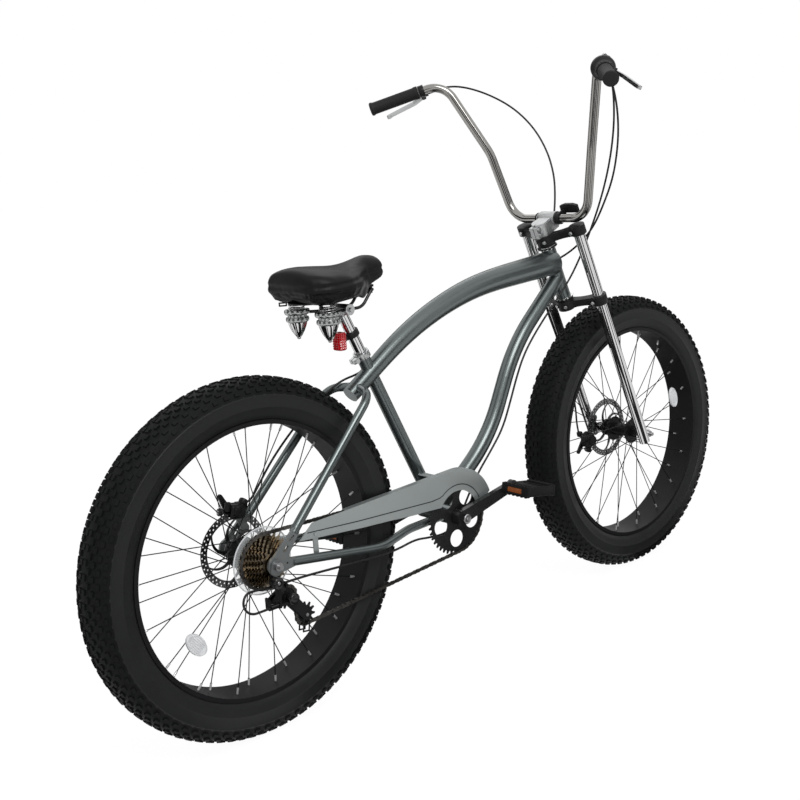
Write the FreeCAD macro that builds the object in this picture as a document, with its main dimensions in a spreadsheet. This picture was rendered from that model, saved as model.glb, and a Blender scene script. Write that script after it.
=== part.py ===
"""Fat tyre cruiser bicycle: curved steel frame, double crown fork, tall handlebar, disc brakes and a seven speed drive.

Frame of the model: +X forward, +Y to the rider's left, +Z up, millimetres.
The origin is on the ground, half way between the wheel axles.
"""
import FreeCAD
import Part
import Sketcher
import math
import os

V = FreeCAD.Vector
ACROSS = V(0, 1, 0)
UP = V(0, 0, 1)
SIDES = (-1, 1)

# Driving dimensions in millimetres and degrees, by group.
SIZES = {
    "wheelbase": 1242, "tyre_radius": 372, "tyre_half_width": 49.5, "tyre_wall": 5,
    "bead_seat_radius": 279.5, "rim_half_width": 41, "rim_wall": 2.5, "rim_flange_height": 6.5,
    "rim_flange_wall": 3,
    "spoke_pairs": 18, "spoke_diameter": 2.2, "nipple_diameter": 4.6, "nipple_length": 14,
    "spoke_lacing_angle": 58,
    "spoke_row_offset": 14, "spoke_head_offset": 3.7, "hub_barrel_radius": 17, "hub_flange_radius": 33,
    "hub_flange_wall": 3, "spoke_circle_radius": 29, "front_flange_offset": 30, "rear_flange_offset": 35,
    "axle_radius": 5, "axle_end_radius": 4.75, "axle_overhang": 12, "axle_nut_radius": 8.6,
    "axle_nut_length": 8, "cone_radius": 8.5,
    "front_hub_half": 62, "rear_hub_left": 68, "rotor_radius": 80, "rotor_band": 14, "rotor_thickness": 2,
    "rotor_mount_radius": 22, "front_rotor_offset": 58, "rear_rotor_offset": 62, "protector_radius": 70,
    "protector_offset": 41.5, "protector_wall": 1.5,
    "head_angle": 68.5, "fork_rake": 58, "leg_rake": 32, "head_tube_bottom": 434, "head_tube_length": 141,
    "head_tube_diameter": 37, "head_tube_bore": 33.6, "cup_height": 9.5, "cup_diameter": 43,
    "steerer_diameter": 28.6,
    "steerer_bore": 24, "leg_offset": 87, "leg_diameter": 28.6, "leg_wall": 2, "crown_thickness": 26,
    "crown_rise": 12,
    "crown_boss_radius": 23, "crown_end_radius": 20, "fork_dropout_offset": 76, "fork_dropout_wall": 7,
    "stem_height": 36, "stem_cap": 3, "stem_reach": 40, "bar_diameter": 22.2, "bar_wall": 2,
    "bar_low_half": 120, "bar_bend_radius": 60,
    "bar_kink_forward": 78, "bar_kink_half": 168, "bar_kink_rise": 171.5, "bar_top_forward": 82,
    "bar_sweep_width": 137,
    "bar_top_rise": 375.5, "bar_end_forward": -62, "bar_end_half": 392, "grip_length": 130,
    "grip_diameter": 34,
    "drum_length": 42, "drum_diameter": 56, "right_grip_length": 84, "bracket_length": 15,
    "bracket_diameter": 31, "lever_reach": 50, "lever_spread": 18, "lever_length": 98,
    "lever_thickness": 8, "lever_drop_angle": 40,
    "bottom_bracket_x": -96, "bottom_bracket_height": 328, "shell_diameter": 42, "shell_bore": 34,
    "shell_width": 100,
    "bottom_cup_flange": 3, "spindle_diameter": 17, "spindle_half": 85,
    "seat_angle": 64.8, "seat_tube_diameter": 30, "seat_tube_bore": 25.5, "seat_tube_top": 458,
    "top_bend_x": -49, "top_bend_z": 834, "top_front_angle": 4.5, "top_rear_angle": 33,
    "top_bend_radius": 850,
    "top_front_radius": 32, "top_rear_radius": 19, "top_rear_x": -326, "tube_wall": 2,
    "down_upper_x": 201, "down_upper_z": 676, "down_lower_x": 92, "down_lower_z": 467, "down_head_x": 380,
    "down_head_z": 826, "down_radius": 19, "down_upper_bend": 430, "down_lower_bend": 370,
    "stay_radius": 9.5, "stay_wall": 1.5, "stay_dropout_offset": 84, "dropout_inner": 85, "dropout_wall": 6,
    "eyelet_radius": 2.1, "guard_plane": 70.5, "guard_wall": 1.5, "guard_radius": 113,
    "guard_arch_radius": 62,
    "guard_flange": 13, "seat_collar_height": 15, "seat_collar_diameter": 37,
    "post_diameter": 25.4, "post_insertion": 150, "post_height": 98, "spring_x": -413, "spring_half": 54,
    "spring_bottom": 846, "spring_height": 22, "spring_radius": 17, "spring_turns": 3.5, "spring_wire": 3,
    "cone_height": 52, "cone_top_radius": 25, "ring_radius": 28, "ring_height": 7, "rail_diameter": 7,
    "saddle_base_z": 868.5, "saddle_base_wall": 3, "saddle_nose_x": -212, "saddle_rear_x": -486,
    "chainline": 64, "chainring_teeth": 42, "chain_pitch": 12.7, "chainring_wall": 2,
    "sprocket_inner_plane": 50,
    "sprocket_pitch": 4.8, "sprocket_wall": 2, "freewheel_bore": 15, "freewheel_body": 21,
    "chain_height": 8, "chain_plate": 1.2, "chain_inner_half": 2.2, "pulley_teeth": 11,
    "guide_pulley_ahead": 46,
    "guide_pulley_drop": 88, "tension_pulley_ahead": 87, "tension_pulley_drop": 139, "cage_half": 6.5,
    "cage_wall": 1.5,
    "hanger_bolt_back": 12, "hanger_bolt_drop": 28, "hanger_wall": 3, "link_pivot_y": -104,
    "link_pivot_drop": 46,
    "link_length": 47, "link_rest_angle": 50, "link_thickness": 12,
    "crank_length": 165, "crank_angle": 14, "crank_boss_radius": 18, "crank_eye_radius": 13,
    "crank_thickness": 13,
    "crank_flare": 14, "pedal_length": 95, "pedal_width": 84, "pedal_height": 26, "pedal_axle_radius": 6,
    "pedal_gap": 4, "caliper_length": 54, "caliper_depth": 34, "caliper_width": 36, "caliper_slot": 6,
    "caliper_radius": 82, "cable_diameter": 5, "running_clearance": 0.05, "moving_gap": 0.4,
}
SPROCKET_TEETH = (28, 24, 22, 20, 18, 16, 14)

doc = FreeCAD.newDocument("fat_tyre_bicycle")
sheet = doc.addObject("Spreadsheet::Sheet", "Sizes")
for row, (alias, value) in enumerate(SIZES.items(), 1):
    sheet.set(f"A{row}", alias)
    sheet.set(f"B{row}", str(value))
    sheet.setAlias(f"B{row}", alias)
doc.recompute()


def size(alias):
    """A driving dimension, read from the sheet."""
    return float(sheet.get(alias))


nodes = {}


def keep(label, feature):
    """Register a document object as the sub-part with this label."""
    feature.Label = label
    nodes[label] = feature
    return feature


def keep_shape(label, shapes, placement=None):
    """A sub-part whose shape is made directly: one solid, or a group of separate solids."""
    feature = doc.addObject("Part::Feature", label)
    solids = shapes if isinstance(shapes, list) else [shapes]
    feature.Shape = solids[0] if len(solids) == 1 else Part.makeCompound(solids)
    if placement:
        feature.Placement = placement * feature.Placement
    return keep(label, feature)


def ring_body(label, outer, inner, length, placement):
    """A tube: two circles whose diameters, and a pad whose length, are bound to the sheet."""
    body = doc.addObject("PartDesign::Body", label)
    plane = next(item for item in body.Origin.OriginFeatures if item.Role == "XY_Plane")
    sketch = body.newObject("Sketcher::SketchObject", label + "_section")
    sketch.AttachmentSupport = (plane, [""])
    sketch.MapMode = "FlatFace"
    for index, (expression, start_radius) in enumerate(((outer, 20), (inner, 10))):
        sketch.addGeometry(Part.Circle(V(), UP, start_radius), False)
        sketch.addConstraint(Sketcher.Constraint("Coincident", index, 3, -1, 1))
        number = sketch.addConstraint(Sketcher.Constraint("Diameter", index, 2 * start_radius))
        sketch.setExpression(f"Constraints[{number}]", expression)
    pad = body.newObject("PartDesign::Pad", label + "_pad")
    pad.Profile = sketch
    pad.setExpression("Length", length)
    body.Placement = placement
    return body


def rod(start, end, radius):
    """A round bar between two points."""
    return Part.makeCylinder(radius, (end - start).Length, start, end - start)


def y_rod(x, z, radius, y_start, y_end):
    """A round bar along Y."""
    return rod(V(x, y_start, z), V(x, y_end, z), radius)


def box(corner, opposite):
    """A block between two opposite corners."""
    low = V(*(min(a, b) for a, b in zip(corner, opposite)))
    high = V(*(max(a, b) for a, b in zip(corner, opposite)))
    return Part.makeBox(high.x - low.x, high.y - low.y, high.z - low.z, low)


def turned_y(profile):
    """A solid of revolution about Y from (y, radius) corners."""
    corners = [V(radius, y, 0) for y, radius in profile]
    face = Part.Face(Part.makePolygon(corners + corners[:1]))
    return face.revolve(V(), ACROSS, 360)


def turned_z(profile):
    """A solid of revolution about Z from (z, radius) corners."""
    corners = [V(radius, 0, z) for z, radius in profile]
    face = Part.Face(Part.makePolygon(corners + corners[:1]))
    return face.revolve(V(), UP, 360)


def hull_outline(first, second, first_radius, second_radius):
    """The outline round two circles in the XY plane: two tangent lines and two arcs."""
    along = second - first
    base = math.atan2(along.y, along.x)
    spread = math.acos((first_radius - second_radius) / along.Length)

    def on(centre, radius, angle):
        return centre + V(math.cos(angle), math.sin(angle), 0) * radius

    upper = [on(first, first_radius, base + spread), on(second, second_radius, base + spread)]
    lower = [on(first, first_radius, base - spread), on(second, second_radius, base - spread)]
    edges = [
        Part.LineSegment(upper[0], upper[1]).toShape(),
        Part.Arc(upper[1], on(second, second_radius, base), lower[1]).toShape(),
        Part.LineSegment(lower[1], lower[0]).toShape(),
        Part.Arc(lower[0], on(first, first_radius, base + math.pi), upper[0]).toShape(),
    ]
    return Part.Face(Part.Wire(edges))


def arm_plate(first, second, first_radius, second_radius, low, high):
    """A flat arm between two round ends, given in XY and thick from low to high along Z."""
    face = hull_outline(V(*first, 0), V(*second, 0), first_radius, second_radius)
    face.translate(V(0, 0, low))
    return face.extrude(V(0, 0, high - low))


def side_plate(first, second, first_radius, second_radius, y_low, y_high):
    """A flat arm between two round ends given in XZ, standing across Y from y_low to y_high."""
    plate = arm_plate(first, second, first_radius, second_radius, -y_high, -y_low)
    plate.rotate(V(), V(1, 0, 0), 90)
    return plate


def tangent_arc(start, corner, end):
    """The arc that leaves start and reaches end along the two lines through the corner."""
    weight = math.cos((corner - start).getAngle(end - start))
    middle = (start + corner * (2 * weight) + end) * (0.5 / (1 + weight))
    return Part.Arc(start, middle, end).toShape()


def bent_path(points, radii):
    """A wire of straight runs joined by tangent arcs at the inner points."""
    edges = []
    last = points[0]
    for index, radius in enumerate(radii, 1):
        corner = points[index]
        back = (points[index - 1] - corner).normalize()
        ahead = (points[index + 1] - corner).normalize()
        reach = radius * math.tan((math.pi - back.getAngle(ahead)) / 2)
        start = corner + back * reach
        end = corner + ahead * reach
        if (start - last).Length > 1e-6:
            edges.append(Part.LineSegment(last, start).toShape())
        edges.append(tangent_arc(start, corner, end))
        last = end
    edges.append(Part.LineSegment(last, points[-1]).toShape())
    return Part.Wire(edges)


def swept(path, radius):
    """A round bar along a path."""
    edge = path.Edges[0]
    start = edge.valueAt(edge.FirstParameter)
    heading = edge.tangentAt(edge.FirstParameter)
    ring = Part.Wire(Part.Circle(start, heading, radius).toShape())
    return path.makePipeShell([ring], True, False)


def bent_tube(points, radii, radius, wall):
    """A hollow tube along straight runs and tangent arcs."""
    path = bent_path(points, radii)
    return swept(path, radius).cut(swept(path, radius - wall))


def largest_radii(points):
    """The largest comfortable arc radius at each inner point of a cable's route."""
    radii = []
    for before, corner, after in zip(points, points[1:], points[2:]):
        turn = math.pi - (before - corner).getAngle(after - corner)
        run = min((before - corner).Length, (after - corner).Length)
        radii.append(0.45 * run / math.tan(turn / 2))
    return radii


def cable(name, points):
    """A cable housing along its route; prints its tightest bend and compares its volume with its length."""
    radii = largest_radii(points)
    path = bent_path(points, radii)
    radius = size("cable_diameter") / 2
    solid = swept(path, radius)
    share = solid.Volume / (math.pi * radius**2 * path.Length)
    print(f"{name}: length {path.Length:.0f} mm, tightest bend {min(radii):.0f} mm, volume share {share:.4f}")
    return solid


def toothed_disc(teeth, wall, y_middle, root_drop=4.2, tip_rise=3.4):
    """A chain wheel about the Y axis through the origin."""
    pitch_radius = size("chain_pitch") * teeth / (2 * math.pi)
    corners = []
    for tooth in range(teeth):
        for share, rise in ((0.0, -root_drop), (0.3, -root_drop), (0.52, tip_rise), (0.78, tip_rise)):
            angle = 2 * math.pi * (tooth + share) / teeth
            radius = pitch_radius + rise
            corners.append(V(radius * math.cos(angle), y_middle - wall / 2, radius * math.sin(angle)))
    face = Part.Face(Part.makePolygon(corners + corners[:1]))
    return face.extrude(V(0, wall, 0))


# Places that several sub-parts share.
REAR = V(-size("wheelbase") / 2, 0, size("tyre_radius"))
FRONT = V(size("wheelbase") / 2, 0, size("tyre_radius"))
HEAD_ANGLE = math.radians(size("head_angle"))
STEER_UP = V(-math.cos(HEAD_ANGLE), 0, math.sin(HEAD_ANGLE))
STEER_FOOT = FRONT - V(size("fork_rake") / math.sin(HEAD_ANGLE), 0, 0)
STEERING = FreeCAD.Placement(STEER_FOOT, FreeCAD.Rotation(ACROSS, size("head_angle") - 90))
BRACKET = V(size("bottom_bracket_x"), 0, size("bottom_bracket_height"))
SEAT_ANGLE = math.radians(size("seat_angle"))
SEAT_UP = V(-math.cos(SEAT_ANGLE), 0, math.sin(SEAT_ANGLE))
FIT = size("running_clearance")
GAP = size("moving_gap")
HEAD_TOP = size("head_tube_bottom") + size("head_tube_length")


def along(origin, direction):
    """A placement at a point with its Z axis along a direction."""
    return FreeCAD.Placement(origin, FreeCAD.Rotation(UP, direction))


# Wheels.
def tyre():
    """The casing: straight beads between the rim flanges, round walls and a crowned tread."""
    bead = size("rim_half_width") - size("rim_flange_wall") - FIT
    foot = size("bead_seat_radius") + FIT
    flange_top = size("bead_seat_radius") + size("rim_flange_height") + 1
    wide = size("tyre_half_width")
    crown = size("tyre_radius")
    wall = size("tyre_wall")
    widest_radius = (flange_top + crown) / 2
    shoulder = wide - 9
    shoulder_radius = crown - 14

    def outline(inset):
        points = [V(foot, bead - inset, 0), V(flange_top, bead - inset, 0)]
        side = V(widest_radius, wide - inset, 0)
        corner = V(shoulder_radius - inset, shoulder - inset / 2, 0)
        return points, side, corner, V(crown - inset, 0, 0)

    def across(point):
        return V(point.x, -point.y, 0)

    edges = []
    for inset in (0, wall):
        (foot_point, top_point), side, corner, middle = outline(inset)
        edges += [
            Part.LineSegment(foot_point, top_point).toShape(),
            Part.Arc(top_point, side, corner).toShape(),
            Part.Arc(corner, middle, across(corner)).toShape(),
            Part.Arc(across(corner), across(side), across(top_point)).toShape(),
            Part.LineSegment(across(top_point), across(foot_point)).toShape(),
        ]
    for sign in SIDES:
        edges.append(Part.LineSegment(V(foot, sign * bead, 0), V(foot, sign * (bead - wall), 0)).toShape())
    face = Part.Face(Part.Wire(Part.sortEdges(edges)[0]))
    return face.revolve(V(), ACROSS, 360)


def rim():
    """A wide single wall rim: flat floor with an upright flange at each edge."""
    half = size("rim_half_width")
    lip = half - size("rim_flange_wall")
    seat = size("bead_seat_radius")
    floor = seat - size("rim_wall")
    top = seat + size("rim_flange_height")
    return turned_y([(-half, floor), (half, floor), (half, top), (lip, top), (lip, seat), (-lip, seat), (-lip, top),
                     (-half, top)])


def hub(left_end, right_end, flange, rotor_seat):
    """A hub shell: barrel, two spoke flanges and the rotor seat on the left, bored for the axle."""
    barrel = size("hub_barrel_radius")
    wall = size("hub_flange_wall") / 2
    rim_radius = size("hub_flange_radius")
    bore = size("axle_radius") + FIT
    seat = size("rotor_mount_radius")
    end = size("freewheel_bore") - FIT
    return turned_y([(right_end, bore), (right_end, end), (-flange - wall, end), (-flange - wall, rim_radius),
                     (-flange + wall, rim_radius), (-flange + wall, barrel), (flange - wall, barrel),
                     (flange - wall, rim_radius), (flange + wall, rim_radius), (flange + wall, barrel),
                     (rotor_seat - 6, barrel), (rotor_seat - 6, seat), (rotor_seat, seat), (rotor_seat, end),
                     (left_end, end), (left_end, bore)])


def spokes(flange):
    """Crossed spokes with their nipples, each a stepped rod from a hub flange to the rim floor."""
    pairs = int(size("spoke_pairs"))
    rim_radius = size("bead_seat_radius") - size("rim_wall") - GAP
    thin = size("spoke_diameter") / 2
    thick = size("nipple_diameter") / 2
    lacing = math.radians(size("spoke_lacing_angle"))
    rods = []
    for side in SIDES:
        for number in range(pairs):
            lean = 1 if number % 2 else -1
            rim_angle = 2 * math.pi * (number + (0.25 if side > 0 else 0.75)) / pairs
            hub_angle = rim_angle + lean * lacing
            hub_y = side * flange + lean * size("spoke_head_offset")
            start = V(math.cos(hub_angle), 0, math.sin(hub_angle)) * size("spoke_circle_radius") + V(0, hub_y, 0)
            end = V(math.cos(rim_angle), 0, math.sin(rim_angle)) * rim_radius
            end += V(0, side * size("spoke_row_offset") + lean, 0)
            length = (end - start).Length - thick * 0.3
            neck = length - size("nipple_length")
            spoke = turned_z([(0, 0), (0, thin), (neck, thin), (neck, thick), (length, thick), (length, 0)])
            spoke.Placement = along(start, end - start)
            rods.append(spoke)
    return rods


def rotor(seat):
    """A brake rotor: a holed outer band, six arms and a ring on the hub's seat."""
    radius = size("rotor_radius")
    inner = radius - size("rotor_band")
    thickness = size("rotor_thickness")
    end = size("freewheel_bore") + GAP
    ring = size("rotor_mount_radius")
    disc = turned_y([(seat, inner), (seat + thickness, inner), (seat + thickness, radius), (seat, radius)])
    disc = disc.fuse(turned_y([(seat, end), (seat + thickness, end), (seat + thickness, ring), (seat, ring)]))
    for step in range(6):
        arm = box(V(ring - 2, seat, -4), V(inner + 2, seat + thickness, 4))
        arm.rotate(V(), ACROSS, 60 * step)
        disc = disc.fuse(arm)
    hole_circle = radius - size("rotor_band") / 2
    for step in range(24):
        angle = math.radians(15 * step)
        x, z = hole_circle * math.cos(angle), hole_circle * math.sin(angle)
        disc = disc.cut(y_rod(x, z, 2.4, seat - 1, seat + thickness + 1))
    return disc


def protector():
    """The spoke protector: a thin dished disc between the freewheel and the spokes."""
    back = -size("protector_offset")
    front = back - size("protector_wall")
    inner = size("freewheel_bore") + GAP
    outer = size("protector_radius")
    return turned_y([(back, inner), (front, inner), (front, outer), (back, outer)])


RIGHT_HUB_END = -(size("dropout_inner") - 4)
WHEELS = (
    ("front", FRONT, size("front_flange_offset"), size("front_rotor_offset"), size("front_hub_half"),
     -size("front_hub_half")),
    ("rear", REAR, size("rear_flange_offset"), size("rear_rotor_offset"), size("rear_hub_left"), RIGHT_HUB_END),
)
for name, centre, flange, rotor_seat, left_end, right_end in WHEELS:
    place = FreeCAD.Placement(centre, FreeCAD.Rotation())
    keep_shape(f"{name}_tyre", tyre(), place)
    keep_shape(f"{name}_rim", rim(), place)
    shell = [hub(left_end, right_end, flange, rotor_seat)]
    if name == "rear":
        shell.append(protector())
    keep_shape(f"{name}_hub", shell, place)
    keep_shape(f"{name}_spokes", spokes(flange), place)
    keep_shape(f"{name}_rotor", rotor(rotor_seat), place)


def axle_set(centre, left_end, right_end, inner, outer):
    """An axle with its cones inside the dropouts and its nuts outside them, each a separate solid."""
    radius = size("axle_radius")
    tip = outer + size("axle_nut_length") + size("axle_overhang") - size("axle_nut_length") / 2
    shoulder = outer + size("axle_nut_length")
    shaft = y_rod(0, 0, radius, -shoulder, shoulder)
    pieces = [shaft.fuse(y_rod(0, 0, size("axle_end_radius"), -tip, tip))]
    for start, end in ((left_end + GAP, inner), (-inner, right_end - GAP)):
        cone = size("cone_radius")
        pieces.append(turned_y([(start, radius), (end, radius), (end, cone), (start, cone)]))
    for sign in SIDES:
        near, far = sign * outer, sign * (outer + size("axle_nut_length"))
        wide = size("axle_nut_radius")
        nut = turned_y([(near, radius), (far, radius), (far, wide), (near, wide)])
        pieces.append(nut)
    for piece in pieces:
        piece.translate(centre)
    return pieces


FORK_OUTER = size("fork_dropout_offset") + size("fork_dropout_wall")
FRAME_OUTER = size("dropout_inner") + size("dropout_wall")
keep_shape("front_axle", axle_set(FRONT, size("front_hub_half"), -size("front_hub_half"), size("fork_dropout_offset"),
                                  FORK_OUTER))
rear_axle = axle_set(REAR, size("rear_hub_left"), RIGHT_HUB_END, size("dropout_inner"), FRAME_OUTER + size("hanger_wall"))
washer = turned_y([(FRAME_OUTER, size("axle_radius")), (FRAME_OUTER + size("hanger_wall"), size("axle_radius")),
                   (FRAME_OUTER + size("hanger_wall"), size("axle_nut_radius") + 2),
                   (FRAME_OUTER, size("axle_nut_radius") + 2)])
washer.translate(REAR)
keep_shape("rear_axle", rear_axle + [washer])

# Main frame.
shell_half = size("shell_width") / 2
shell_solid = y_rod(BRACKET.x, BRACKET.z, size("shell_diameter") / 2, -shell_half, shell_half)
head_solid = rod(STEER_FOOT + STEER_UP * size("head_tube_bottom"), STEER_FOOT + STEER_UP * HEAD_TOP,
                 size("head_tube_diameter") / 2)
seat_solid = rod(BRACKET, BRACKET + SEAT_UP * size("seat_tube_top"), size("seat_tube_diameter") / 2)

head_place = along(STEER_FOOT + STEER_UP * size("head_tube_bottom"), STEER_UP)
keep("head_tube", ring_body("head_tube", "Sizes.head_tube_diameter", "Sizes.head_tube_bore", "Sizes.head_tube_length",
                            head_place))
shell_place = along(BRACKET - ACROSS * (size("shell_width") / 2), ACROSS)
keep("bottom_bracket_shell", ring_body("bottom_bracket_shell", "Sizes.shell_diameter", "Sizes.shell_bore",
                                       "Sizes.shell_width", shell_place))

seat_blank = ring_body("seat_tube_blank", "Sizes.seat_tube_diameter", "Sizes.seat_tube_bore", "Sizes.seat_tube_top",
                       along(BRACKET, SEAT_UP))
shell_tool = doc.addObject("Part::Cylinder", "shell_tool")
shell_tool.setExpression("Radius", "Sizes.shell_diameter / 2")
shell_tool.setExpression("Height", "Sizes.shell_width")
shell_tool.Placement = shell_place
seat_tube = doc.addObject("Part::Cut", "seat_tube")
seat_tube.Base = seat_blank
seat_tube.Tool = shell_tool
keep("seat_tube", seat_tube)


def tapered_tube(path, first_radius, last_radius, stations=9):
    """A solid through circles whose radius changes evenly along a path."""
    points = path.discretize(Number=4 * stations - 3)
    rings = []
    for number in range(stations):
        index = 4 * number
        before = points[max(index - 1, 0)]
        after = points[min(index + 1, len(points) - 1)]
        radius = first_radius + (last_radius - first_radius) * number / (stations - 1)
        rings.append(Part.Wire(Part.Circle(points[index], after - before, radius).toShape()))
    return Part.makeLoft(rings, True, False)


top_bend = V(size("top_bend_x"), 0, size("top_bend_z"))
front_slope = math.tan(math.radians(size("top_front_angle")))
rear_slope = math.tan(math.radians(size("top_rear_angle")))
lean = 1 / math.tan(HEAD_ANGLE)
head_x = (STEER_FOOT.x - lean * (top_bend.z - front_slope * top_bend.x - STEER_FOOT.z)) / (1 + lean * front_slope)
top_front = V(head_x, 0, top_bend.z + front_slope * (head_x - top_bend.x))
top_rear = V(size("top_rear_x"), 0, top_bend.z - rear_slope * (top_bend.x - size("top_rear_x")))
top_path = bent_path([top_front, top_bend, top_rear], [size("top_bend_radius")])
top_solid = tapered_tube(top_path, size("top_front_radius"), size("top_rear_radius"))
wall = size("tube_wall")
top_hollow = tapered_tube(top_path, size("top_front_radius") - wall, size("top_rear_radius") - wall)
end_cap = rod(top_rear, top_rear + (top_rear - top_bend).normalize() * 3, size("top_rear_radius"))
top_tube = top_solid.cut(top_hollow).fuse(end_cap).cut(head_solid).cut(seat_solid)
keep_shape("top_tube", top_tube)

down_points = [V(size("down_head_x"), 0, size("down_head_z")), V(size("down_upper_x"), 0, size("down_upper_z")),
               V(size("down_lower_x"), 0, size("down_lower_z")), BRACKET]
down_tube = bent_tube(down_points, [size("down_upper_bend"), size("down_lower_bend")], size("down_radius"),
                      size("tube_wall"))
down_tube = down_tube.cut(head_solid).cut(top_solid).cut(shell_solid).cut(seat_solid)
keep_shape("down_tube", sorted(down_tube.Solids, key=lambda solid: solid.Volume)[-1])


def dropout(side):
    """A rear dropout plate: axle end, arm to the chain stay and arm to the seat stay, with a threaded eyelet."""
    low, high = sorted((side * size("dropout_inner"), side * FRAME_OUTER))
    axle = (REAR.x, REAR.z)
    plate = side_plate(axle, (REAR.x + 44, REAR.z - 5), 19, 9, low, high)
    plate = plate.fuse(side_plate(axle, (REAR.x + 54, REAR.z + 56), 17, 9, low, high))
    plate = plate.cut(y_rod(REAR.x, REAR.z, size("axle_radius") + FIT, low - 1, high + 1))
    plate = plate.cut(y_rod(REAR.x + 27, REAR.z - 2, size("eyelet_radius"), low - 1, high + 1))
    for step in (0.42, 0.72):
        x, z = REAR.x + 54 * step, REAR.z + 56 * step
        plate = plate.cut(side_plate((x, z), (x + 7, z + 7), 3, 3, low - 1, high + 1))
    return plate


dropouts = {side: dropout(side) for side in SIDES}
keep_shape("dropouts", [dropouts[side] for side in SIDES])


def solid_stay(points, radii, cutters):
    """A hollow stay trimmed by the pieces that it is welded to; the main piece is kept."""
    stay = bent_tube(points, radii, size("stay_radius"), size("stay_wall"))
    for cutter in cutters:
        stay = stay.cut(cutter)
    return sorted(stay.Solids, key=lambda solid: solid.Volume)[-1]


chain_stays = []
seat_stays = []
for side in SIDES:
    outer = side * size("stay_dropout_offset")
    lower_route = [BRACKET + V(-8, side * 38, 1), V(-235, side * 53, 333), V(-335, side * 76, 325),
                   V(REAR.x + 42, outer, REAR.z - 5)]
    chain_stays.append(solid_stay(lower_route, [180, 180], [shell_solid, dropouts[side]]))
    upper_route = [V(-312, side * 12, 667), V(-333, side * 72, 662), V(REAR.x + 52, outer, REAR.z + 53)]
    seat_stays.append(solid_stay(upper_route, [42], [top_solid, dropouts[side]]))
keep_shape("chain_stays", chain_stays)
keep_shape("seat_stays", seat_stays)


def bearing_cups():
    """Headset cups on the head tube's ends and bottom bracket cups in the shell, each bored for its shaft."""
    cups = []
    bore = size("steerer_diameter") / 2 + FIT
    outer = size("cup_diameter") / 2
    skirt = size("head_tube_bore") / 2 - FIT
    height = size("cup_height")
    upper = turned_z([(-10, bore), (-10, skirt), (0, skirt), (0, outer), (height, outer - 3), (height, bore)])
    upper.Placement = along(STEER_FOOT + STEER_UP * HEAD_TOP, STEER_UP)
    lower = turned_z([(-10, bore), (-10, skirt), (0, skirt), (0, outer), (height, outer - 3), (height, bore)])
    lower.Placement = along(STEER_FOOT + STEER_UP * size("head_tube_bottom"), STEER_UP * -1)
    cups += [upper, lower]
    spindle = size("spindle_diameter") / 2 + FIT
    thread = size("shell_bore") / 2 - FIT
    half = size("shell_width") / 2
    flange = size("bottom_cup_flange")
    for side in SIDES:
        cup = turned_z([(-20, spindle), (-20, thread), (0, thread), (0, size("shell_diameter") / 2 - 1),
                        (flange, size("shell_diameter") / 2 - 1), (flange, spindle)])
        cup.Placement = along(BRACKET + ACROSS * (side * half), ACROSS * side)
        cups.append(cup)
    return cups


keep_shape("bearing_cups", bearing_cups())


def seat_clamp():
    """The seat collar with its split lugs and pinch bolt at the rear."""
    outer = size("seat_collar_diameter") / 2
    inner = size("seat_tube_diameter") / 2 + FIT
    height = size("seat_collar_height")
    ring = turned_z([(0, inner), (height, inner), (height, outer), (0, outer)])
    lugs = box(V(-outer - 12, -9, 2), V(-inner - 1.5, 9, height - 2))
    collar = ring.fuse(lugs).cut(box(V(-outer - 20, -1, -1), V(-inner + 2, 1, height + 1)))
    bolt_place = V(-outer - 6, 0, height / 2)
    collar = collar.cut(rod(bolt_place - ACROSS * 20, bolt_place + ACROSS * 20, 3 + FIT))
    bolt = rod(bolt_place - ACROSS * 9, bolt_place + ACROSS * 14, 3)
    bolt = bolt.fuse(rod(bolt_place - ACROSS * 14, bolt_place - ACROSS * 9, 5.5))
    return [collar, bolt]


collar_place = along(BRACKET + SEAT_UP * (size("seat_tube_top") - size("seat_collar_height")), SEAT_UP)
keep_shape("seat_clamp", seat_clamp(), collar_place)


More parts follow.
